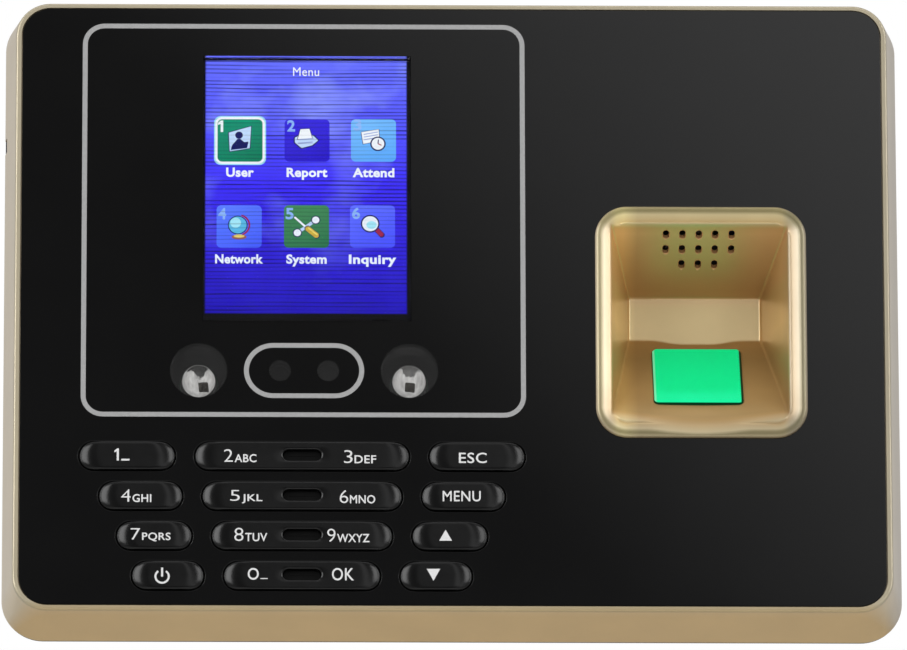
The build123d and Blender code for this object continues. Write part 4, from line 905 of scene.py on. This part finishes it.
def bay_depth(x, z, s):
    """Depth of the bay's surface, from its rim, walls, ceiling, back and deck."""
    ceiling = (BAY_TOP - z) / CEILING_SLOPE
    left = (x - BAY_LEFT) / LEFT_TAPER
    right = (BAY_RIGHT - x) / RIGHT_TAPER
    deck = BAY_DEEP - (DECK_BACK_Z - z) * math.tan(DECK_TILT)
    lip = LIP_DEPTH + (z - LIP_Z - LIP_BOW * ((x - LIP_MID) / LIP_HALF) ** 2) * LIP_SLOPE
    fade = np.clip((z - SCOOP_FOOT) / SCOOP_FADE, 0, 1)
    scoop = SCOOP_DEEP * np.exp(-(((x - PRISM_X) / SCOOP_HALF) ** 4)) * fade
    back = np.full_like(x, BAY_DEEP)
    pocket = smooth_min(ceiling, back, CEILING_ROUND)
    pocket = smooth_min(pocket, smooth_min(left, right, SIDE_ROUND), WALL_ROUND)
    bottom = smooth_min(smooth_max(deck + scoop, lip, LIP_ROUND), back, DECK_ROUND)
    pocket = smooth_min(pocket, bottom, FLOOR_ROUND)
    rim = np.interp(s, RIM_S, RIM_D)
    return smooth_max(rim, pocket, RIM_ROUND)


def bay_mesh():
    """Rings that go inward from the rim's outline to the middle of the pocket."""
    rings, all_s = [], []
    for inset in np.concatenate([RIM_INSETS, np.arange(3.0, INNER_FROM + 0.01, 0.2)]):
        half = (RIM_HALF[0] - inset, RIM_HALF[1] - inset)
        r = max(RIM_R - inset, RIM_LEAST_R)
        rings.append(np.array(box_outline(RIM_C, half, r, RIM_STRAIGHT, RIM_CURVE)))
        all_s.append(np.full(len(rings[-1]), inset))
    core = rings[-1] - np.array(RIM_C)
    for share in np.linspace(1.0, 0.0, CORE_RINGS)[1:-1]:
        rings.append(np.array(RIM_C) + core * share)
        all_s.append(np.full(len(core), blend(RIM_HALF[1], INNER_FROM, share)))
    places = np.concatenate(rings)
    depth = bay_depth(places[:, 0], places[:, 1], np.concatenate(all_s))
    count = len(rings[0])
    depth[:count] = 1.0
    points = [(x, d, z) for (x, z), d in zip(places.tolist(), depth.tolist())]
    faces = ring_faces(len(rings), count)
    last = (len(rings) - 1) * count
    faces.append(tuple(range(last, last + count)))
    return points, faces


def cut(target, cutters):
    """Takes shapes out of a mesh and applies the result."""
    for cutter in cutters:
        step = target.modifiers.new("cut", "BOOLEAN")
        step.operation = "DIFFERENCE"
        step.solver = "EXACT"
        step.object = cutter
    done = applied(target)
    target.modifiers.clear()
    target.data = done
    for cutter in cutters:
        bpy.data.objects.remove(cutter)


def loose(name, points, faces):
    """Object from points in metres that rides no body."""
    mesh = bpy.data.meshes.new(name)
    mesh.from_pydata(points, [], faces)
    made = bpy.data.objects.new(name, mesh)
    scene.collection.objects.link(made)
    return made


def tilted(origin, up_dir, out_dir, outline, low, high):
    """Straight-sided solid on a plane that tilts about X, as points in metres and faces."""
    points = []
    for level in (low, high):
        for a, b in outline:
            depth, z = [origin[i] + up_dir[i] * b + out_dir[i] * level for i in (1, 2)]
            points.append(mm(origin[0] + a, depth, z))
    return points, prism_faces(len(outline))


CEILING_LENGTH = math.hypot(BAY_DEEP, CEILING_DROP)
CEIL_ALONG = (0, BAY_DEEP / CEILING_LENGTH, -CEILING_DROP / CEILING_LENGTH)
CEIL_OUT = (0, CEILING_DROP / CEILING_LENGTH, BAY_DEEP / CEILING_LENGTH)
DECK_UP = (0, math.sin(DECK_TILT), math.cos(DECK_TILT))
DECK_OUT = (0, -math.cos(DECK_TILT), math.sin(DECK_TILT))
BAY_WALL = 1.1
HOLE_ROWS = ((2.3, 5), (6.1, 5), (9.95, 3))  # depth, count
HOLE_CUT, WINDOW_CUT = (-1.5, 4.0), (-8.0, 3.0)  # outward, from the surface
HOLE_MID, HOLE_PITCH, HOLE_SIZE = 52.6, 3.5, (2.4, 1.3)
WINDOW_HALF, WINDOW_R = (9.5, 10.9), 1.1


def make_bay():
    bay = piece("bay_moulding", *bay_mesh(), bay_paint_with_painted_light, "case", "gold_paint")
    thick = bay.modifiers.new("wall", "SOLIDIFY")
    thick.thickness = BAY_WALL * MM
    thick.offset = -1
    cutters = []
    hole = [(-b, a) for a, b in stadium((0, 0), *HOLE_SIZE, 4, 8)]
    for depth, number in HOLE_ROWS:
        along = depth * CEILING_LENGTH / BAY_DEEP
        for i in range(number):
            x = HOLE_MID + (i - (number - 1) / 2) * HOLE_PITCH
            origin = (x, along * CEIL_ALONG[1], BAY_TOP + along * CEIL_ALONG[2])
            cutters.append(loose("hole", *tilted(origin, CEIL_ALONG, CEIL_OUT, hole, *HOLE_CUT)))
    window = box_outline((0, -sum(PRISM_ALONG) / 2), WINDOW_HALF, WINDOW_R, 2, 6)
    origin = (PRISM_X, BAY_DEEP, DECK_BACK_Z)
    cutters.append(loose("window", *tilted(origin, DECK_UP, DECK_OUT, window, *WINDOW_CUT)))
    cut(bay, cutters)
    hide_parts("finger_bay")


make_bay()


# ---------------- lamp chips
DOME_FLAT = 0.4
CHIPS = (("left", LAMP_X[0], (-52.77, -16.8), 8), ("right", LAMP_X[1], (-8.95, -16.8), -4))
CHIP_HALF, CHIP_R = (1.05, 0.86), 0.25
CHIP_COLOURS = ((0.07, 0.06, 0.05), (0.22, 0.2, 0.17))
# Size and lift of each ring.
CHIP_RINGS = ((1.0, -0.05), (1.0, 0.05), (0.93, 0.07), (0.7, 0.07), (0.4, 0.07), (0.1, 0.07))


def dome_depth(lamp_x, x, z):
    away = max(0.0, math.hypot(x - lamp_x, z - IMAGING_Z) - DOME_FLAT)
    return LAMP_TIP + DOME_R - math.sqrt(DOME_R ** 2 - min(away, DOME_R) ** 2)


def make_chips():
    """Dark square die under the skin of each lamp, following its dome."""
    for side, lamp_x, centre, degrees in CHIPS:
        turn = math.radians(degrees)
        rings = []
        for size, lift in CHIP_RINGS:
            ring = []
            for a, b in box_outline((0, 0), [half * size for half in CHIP_HALF], CHIP_R * size, 3, 5):
                x = centre[0] + a * math.cos(turn) - b * math.sin(turn)
                z = centre[1] + a * math.sin(turn) + b * math.cos(turn)
                ring.append((x, dome_depth(lamp_x, x, z) - lift, z))
            rings.append(ring)
        points, faces = ring_solid(rings)
        faces.append(tuple(range(len(points) - len(rings[-1]), len(points))))
        look = surface("lamp chip " + side, CHIP_COLOURS, grain=1900, rough=(0.3, 0.5), bump=0.2)
        piece("lamp_chip_" + side, points, faces, look, "case", smooth=False)


make_chips()


# ---------------- screen contents
def plain_glow(name, colour):
    pale = [min(1.0, c * 1.12) for c in colour]
    return glow(name, colour, pale, (-31, 27), 30, lines=0.3)


UI = {"white": glow("screen white", (0.78, 0.86, 1.0), (0.95, 0.98, 1.0), (-31, 27), 30, lines=0.12)}
UI_TONES = (
    ("halo", (0.33, 0.72, 0.86)),
    ("pale", (0.50, 0.66, 0.95)),
    ("number", (0.26, 0.46, 0.95)),
    ("navy", (0.004, 0.006, 0.10)),
    ("cyan", (0.10, 0.48, 0.78)),
    ("mist", (0.36, 0.78, 0.95)),
    ("yellow", (0.60, 0.42, 0.05)),
    ("amber", (0.80, 0.66, 0.16)),
    ("red", (0.32, 0.012, 0.06)),
    ("brown", (0.30, 0.12, 0.10)),
    ("grey", (0.30, 0.38, 0.70)),
)
for tone, tone_colour in UI_TONES:
    UI[tone] = plain_glow("screen " + tone, tone_colour)
TILES = (
    ("user", "User", (-45.15, 37.9), (0.0, 0.20, 0.10), (0.004, 0.30, 0.18), 2.95, (-4.1, 3.1)),
    ("report", "Report", (-30.86, 37.95), (0.018, 0.005, 0.60), (0.04, 0.022, 0.80), 4.35, (-3.4, 3.2)),
    ("attend", "Attend", (-16.68, 38.0), (0.10, 0.40, 1.0), (0.20, 0.56, 1.1), 4.45, (-3.4, 3.4)),
    ("network", "Network", (-45.3, 18.4), (0.055, 0.11, 1.0), (0.11, 0.22, 1.15), 5.1, (-3.6, 2.8)),
    ("system", "System", (-30.95, 18.45), (0.02, 0.17, 0.07), (0.06, 0.27, 0.10), 4.3, (-3.6, 2.8)),
    ("inquiry", "Inquiry", (-16.9, 18.5), (0.06, 0.08, 1.0), (0.12, 0.17, 1.15), 5.05, (-3.5, 2.9)),
)
TILE_HALF = 4.8
DIGIT_HALF = (0.85, 1.3)
TITLE_BOX = (-33.85, -28.3, 52.6, 54.55)
TILE_ONE = [(-0.05, -1.3), (0.5, -1.3), (0.5, 1.3), (0.0, 1.3), (-0.6, 0.8), (-0.6, 0.3), (-0.05, 0.55)]
CAPTION_BASE = {True: 29.75, False: 10.15}
CAPTION_TALL = 2.0
UI_LIFT, UI_STEP = 0.02, 0.03


def ui_depth(level):
    return SCREEN_DEPTH - UI_LIFT - UI_STEP * level


def ui_piece(name, points, faces, look):
    piece("screen_" + name, points, faces, look, "case", "screen_glass", smooth=False)


def flat(name, outline, centre, look, level):
    """Flat icon part, drawn about a centre."""
    ui_piece(name, *prism_shape(moved(outline, centre), ui_depth(level)), UI[look])


def moved(outline, centre, grow=0.0):
    """Outline carried to a centre, pushed out from its own middle by a distance."""
    mx = sum(p[0] for p in outline) / len(outline)
    mz = sum(p[1] for p in outline) / len(outline)
    out = []
    for x, z in outline:
        away = math.hypot(x - mx, z - mz) or 1.0
        out.append((centre[0] + x + (x - mx) / away * grow, centre[1] + z + (z - mz) / away * grow))
    return out


def round_outline(r, count=28, squash=1.0):
    turns = [2 * math.pi * i / count for i in range(count)]
    return [(r * math.cos(a), r * squash * math.sin(a)) for a in turns]


def bar_outline(start, end, width):
    """Anticlockwise bar between two points, with cut corners."""
    dx, dz = end[0] - start[0], end[1] - start[1]
    length = math.hypot(dx, dz)
    ux, uz = dx / length, dz / length
    half, cut_off = width / 2, width * 0.3
    local = [
        (0, -half + cut_off), (cut_off, -half), (length - cut_off, -half), (length, -half + cut_off),
        (length, half - cut_off), (length - cut_off, half), (cut_off, half), (0, half - cut_off),
    ]
    return [(start[0] + a * ux - b * uz, start[1] + a * uz + b * ux) for a, b in local]


def edged(name, outline, centre, look, level, edge=0.28):
    """Icon part with a dark edge behind it."""
    ui_piece(name + "_edge", *prism_shape(moved(outline, centre, edge), ui_depth(level)), UI["navy"])
    flat(name, outline, centre, look, level + 1)


def icon_user(c):
    card = [(-2.19, -2.5), (2.07, -1.75), (2.36, 3.2), (-2.4, 1.75)]
    edged("user_card", card, c, "pale", 1, 0.22)
    shoulders = [
        (-2.0, -2.2), (1.5, -1.75), (1.8, -0.3), (0.9, -0.4),
        (0.08, 0.3), (-0.54, 0.3), (-1.16, -0.44), (-1.7, -1.1),
    ]
    flat("user_body", shoulders, c, "navy", 3)
    flat("user_head", round_outline(0.82), (c[0] - 0.22, c[1] + 1.15), "navy", 4)


def icon_report(c):
    body = [(-2.6, 0.6), (-2.6, -0.5), (-1.16, -1.75), (1.1, -1.1), (2.36, 0.0), (1.3, 1.1), (-1.57, 1.1)]
    sheet = [(-2.0, 0.2), (1.1, 0.5), (0.5, 2.6), (-1.4, 2.5)]
    edged("report_body", body, c, "pale", 1)
    edged("report_sheet", sheet, c, "white", 3, 0.18)
    flat("report_tray", [(-1.9, -0.9), (1.2, -0.55), (1.2, -0.25), (-1.9, -0.55)], c, "grey", 5)
    flat("report_slot", [(-1.7, 0.0), (1.3, 0.25), (1.3, 0.5), (-1.7, 0.25)], c, "grey", 5)


def icon_attend(c):
    sheet = [(-2.2, -0.8), (1.3, -0.13), (1.1, 2.5), (-2.6, 1.84)]
    edged("attend_sheet", sheet, c, "white", 1, 0.15)
    for row in range(3):
        z = 0.1 + row * 0.62
        line = [(-2.1, z - 0.1), (0.95, z + 0.45), (0.95, z + 0.65), (-2.1, z + 0.1)]
        flat("attend_line_%d" % row, line, c, "grey", 3)
    dial = (c[0] + 0.95, c[1] - 0.8)
    edged("attend_dial", round_outline(1.35), dial, "white", 4, 0.3)
    flat("attend_hand_a", bar_outline((0, 0), (0.1, 0.95), 0.22), dial, "navy", 6)
    flat("attend_hand_b", bar_outline((0, 0), (0.75, -0.35), 0.22), dial, "red", 6)


def icon_network(c):
    flat("network_stand", round_outline(1.6, squash=0.36), (c[0], c[1] - 2.35), "brown", 1)
    flat("network_stand_top", round_outline(1.15, squash=0.3), (c[0], c[1] - 2.15), "amber", 2)
    bow = arc_band((c[0] - 0.1, c[1] + 0.3), 2.45, 2.1, -70, 75, ui_depth(3), 24)
    ui_piece("network_bow", *bow, UI["red"])
    globe = (c[0] - 0.3, c[1] + 0.3)
    edged("network_globe", round_outline(1.9), globe, "cyan", 4, 0.2)
    flat("network_shine", round_outline(1.15), (globe[0] - 0.45, globe[1] + 0.5), "mist", 6)


def icon_system(c):
    edged("system_wrench", bar_outline((-2.1, -1.55), (2.1, 1.55), 0.7), c, "pale", 1, 0.22)
    for tag, x, z in (("a", -1.95, -1.45), ("b", 1.95, 1.45)):
        edged("system_jaw_" + tag, round_outline(0.78, 20), (c[0] + x, c[1] + z), "white", 3, 0.22)
    edged("system_blade", bar_outline((-2.6, 2.1), (0.1, -0.4), 0.42), c, "white", 5, 0.15)
    edged("system_handle", bar_outline((-0.1, -0.25), (2.5, -2.4), 1.15), c, "yellow", 7, 0.22)
    flat("system_shine", bar_outline((0.35, -0.35), (2.4, -2.05), 0.3), c, "amber", 9)


def icon_inquiry(c):
    edged("inquiry_handle", bar_outline((0.5, -0.3), (2.2, -2.15), 0.95), c, "red", 1, 0.25)
    edged("inquiry_lens", round_outline(1.7), (c[0] - 0.5, c[1] + 0.6), "white", 3, 0.3)
    flat("inquiry_shade", round_outline(1.1, squash=0.8), (c[0] - 0.2, c[1] + 0.3), "mist", 5)


ICONS = (icon_user, icon_report, icon_attend, icon_network, icon_system, icon_inquiry)


def screen_text(name, words, box, level, look, bold, baseline=False):
    parts = ((words, *WHOLE),)
    lettering(name, parts, box, ui_depth(level), UI[look], "case", "screen_glass", bold, baseline)


def make_tile(number, name, caption, centre, low, high, half_width, digit_place):
    look = glow("tile " + name, low, high, centre, TILE_HALF, angle=(-0.3, 0.7), lines=0.4)
    outline = box_outline(centre, (TILE_HALF, TILE_HALF), 1.0, 2, 6)
    ui_piece("tile_" + name, *prism_shape(outline, ui_depth(0)), look)
    dx, dz = centre[0] + digit_place[0], centre[1] + digit_place[1]
    tag = "screen_number_" + name
    if number == 1:
        ui_piece(tag, *prism_shape(moved(TILE_ONE, (dx, dz)), ui_depth(10)), UI["white"])
    else:
        box = (dx - DIGIT_HALF[0], dx + DIGIT_HALF[0], dz - DIGIT_HALF[1], dz + DIGIT_HALF[1])
        screen_text(tag, str(number), box, 10, "number", 0.03)
    base = CAPTION_BASE[centre[1] > 30]
    box = (centre[0] - half_width, centre[0] + half_width, base, base + CAPTION_TALL)
    screen_text("screen_caption_" + name, caption, box, 1, "white", 0.035, True)
    ICONS[number - 1](centre)


def make_halo():
    """Pale glowing edge round the chosen tile."""
    centre = TILES[0][2]
    for tag, look, reach, level in (("outer", "halo", 0.75, -0.3), ("inner", "white", 0.5, -0.15)):
        outline = box_outline(centre, (TILE_HALF + reach, TILE_HALF + reach), 1.5, 2, 6)
        ui_piece("halo_" + tag, *prism_shape(outline, ui_depth(level), 0.002), UI[look])


make_halo()
for tile_number, tile_values in enumerate(TILES):
    make_tile(tile_number + 1, *tile_values)
screen_text("screen_title", "Menu", TITLE_BOX, 1, "white", 0.0)


# ---------------- floor, world and lights
FLOOR_HALF, FLOOR_LEVEL = 14.0, -1.35


def make_floor():
    signs = ((-1, -1), (1, -1), (1, 1), (-1, 1))
    corners = [(a * FLOOR_HALF, b * FLOOR_HALF, FLOOR_LEVEL) for a, b in signs]
    floor = loose("floor", corners, [(0, 1, 2, 3)])
    look = surface(
        "pale floor", ((0.80, 0.80, 0.79), (0.84, 0.84, 0.83)), grain=3, rough=(0.7, 0.85), bump=0.05,
        bump_scale=40,
    )
    floor.data.materials.append(look)


BACK_LEVEL = 0.56
ROOM_SLANT = 0.953  # rise of the bright side's edge against its run
ROOM_EDGE = (0.32453, 0.3812)
ROOM_FAR = (0.41667, 0.7)


def make_world():
    """White behind; in front a dim room with a soft-edged bright side up and to the right."""
    world = bpy.data.worlds.new("world")
    scene.world = world
    world.use_nodes = True
    graph = Graph(world.node_tree)
    coordinates = graph.add("ShaderNodeTexCoord")
    split = graph.add("ShaderNodeSeparateXYZ")
    graph.link(coordinates.outputs["Generated"], split.inputs[0])
    dx, dy, dz = split.outputs
    across = graph.weigh(dx, 1.0, dz, ROOM_SLANT)
    edge = graph.span(across, *ROOM_EDGE, 0.13, 1.1)
    far = graph.span(across, *ROOM_FAR, 0.0, 0.85, smooth=True)
    left = graph.span(dx, -0.30, -0.62, 0.0, 0.45, smooth=True)
    low = graph.span(dz, -0.2, -0.6, 0.0, 0.55, smooth=True)
    front = graph.most(graph.minus(edge, far), graph.most(left, low))
    back = graph.span(dy, -0.25, 0.15, 0.0, 1.0, smooth=True)
    behind = graph.times(back, BACK_LEVEL)
    level = graph.math("ADD", graph.times(front, graph.minus(1.0, back)), behind)
    seen = graph.add("ShaderNodeLightPath").outputs["Is Camera Ray"]
    level = graph.most(level, seen)
    background = graph.add("ShaderNodeBackground")
    graph.link(level, background.inputs["Strength"])
    background.inputs["Color"].default_value = (1, 1, 1, 1)
    out = graph.add("ShaderNodeOutputWorld")
    graph.link(background.outputs[0], out.inputs[0])


def area_light(name, place, size, power):
    """Rectangle of light that faces the middle of the frame."""
    data = bpy.data.lights.new(name, "AREA")
    data.shape = "RECTANGLE"
    data.size, data.size_y = size
    data.energy = power
    lamp = bpy.data.objects.new(name, data)
    lamp.location = place
    lamp.rotation_euler = Vector(place).to_track_quat("Z", "Y").to_euler()
    lamp.visible_camera = False
    scene.collection.objects.link(lamp)
    return lamp


LIGHTS = (
    ("softbox top", (0.3, -0.9, 1.5), (1.2, 0.5), 3.5),
    ("softbox left", (-1.0, -1.35, 0.6), (0.5, 0.9), 7.0),
    ("softbox right", (1.0, -1.4, 0.62), (0.4, 0.8), 4.0),
    ("strip left", (-1.45, -0.95, 0.6), (0.3, 1.4), 6.5),
    ("strip right", (1.4, -1.0, 0.6), (0.3, 1.4), 6.0),
)
make_floor()
make_world()
for light_values in LIGHTS:
    area_light(*light_values)
fill = area_light("fill low", (0.2, -2.3, -0.6), (1.5, 1.5), 21.0)
fill.visible_glossy = False  # it would show as a square in the gloss panel

scene.view_settings.exposure = 0.0
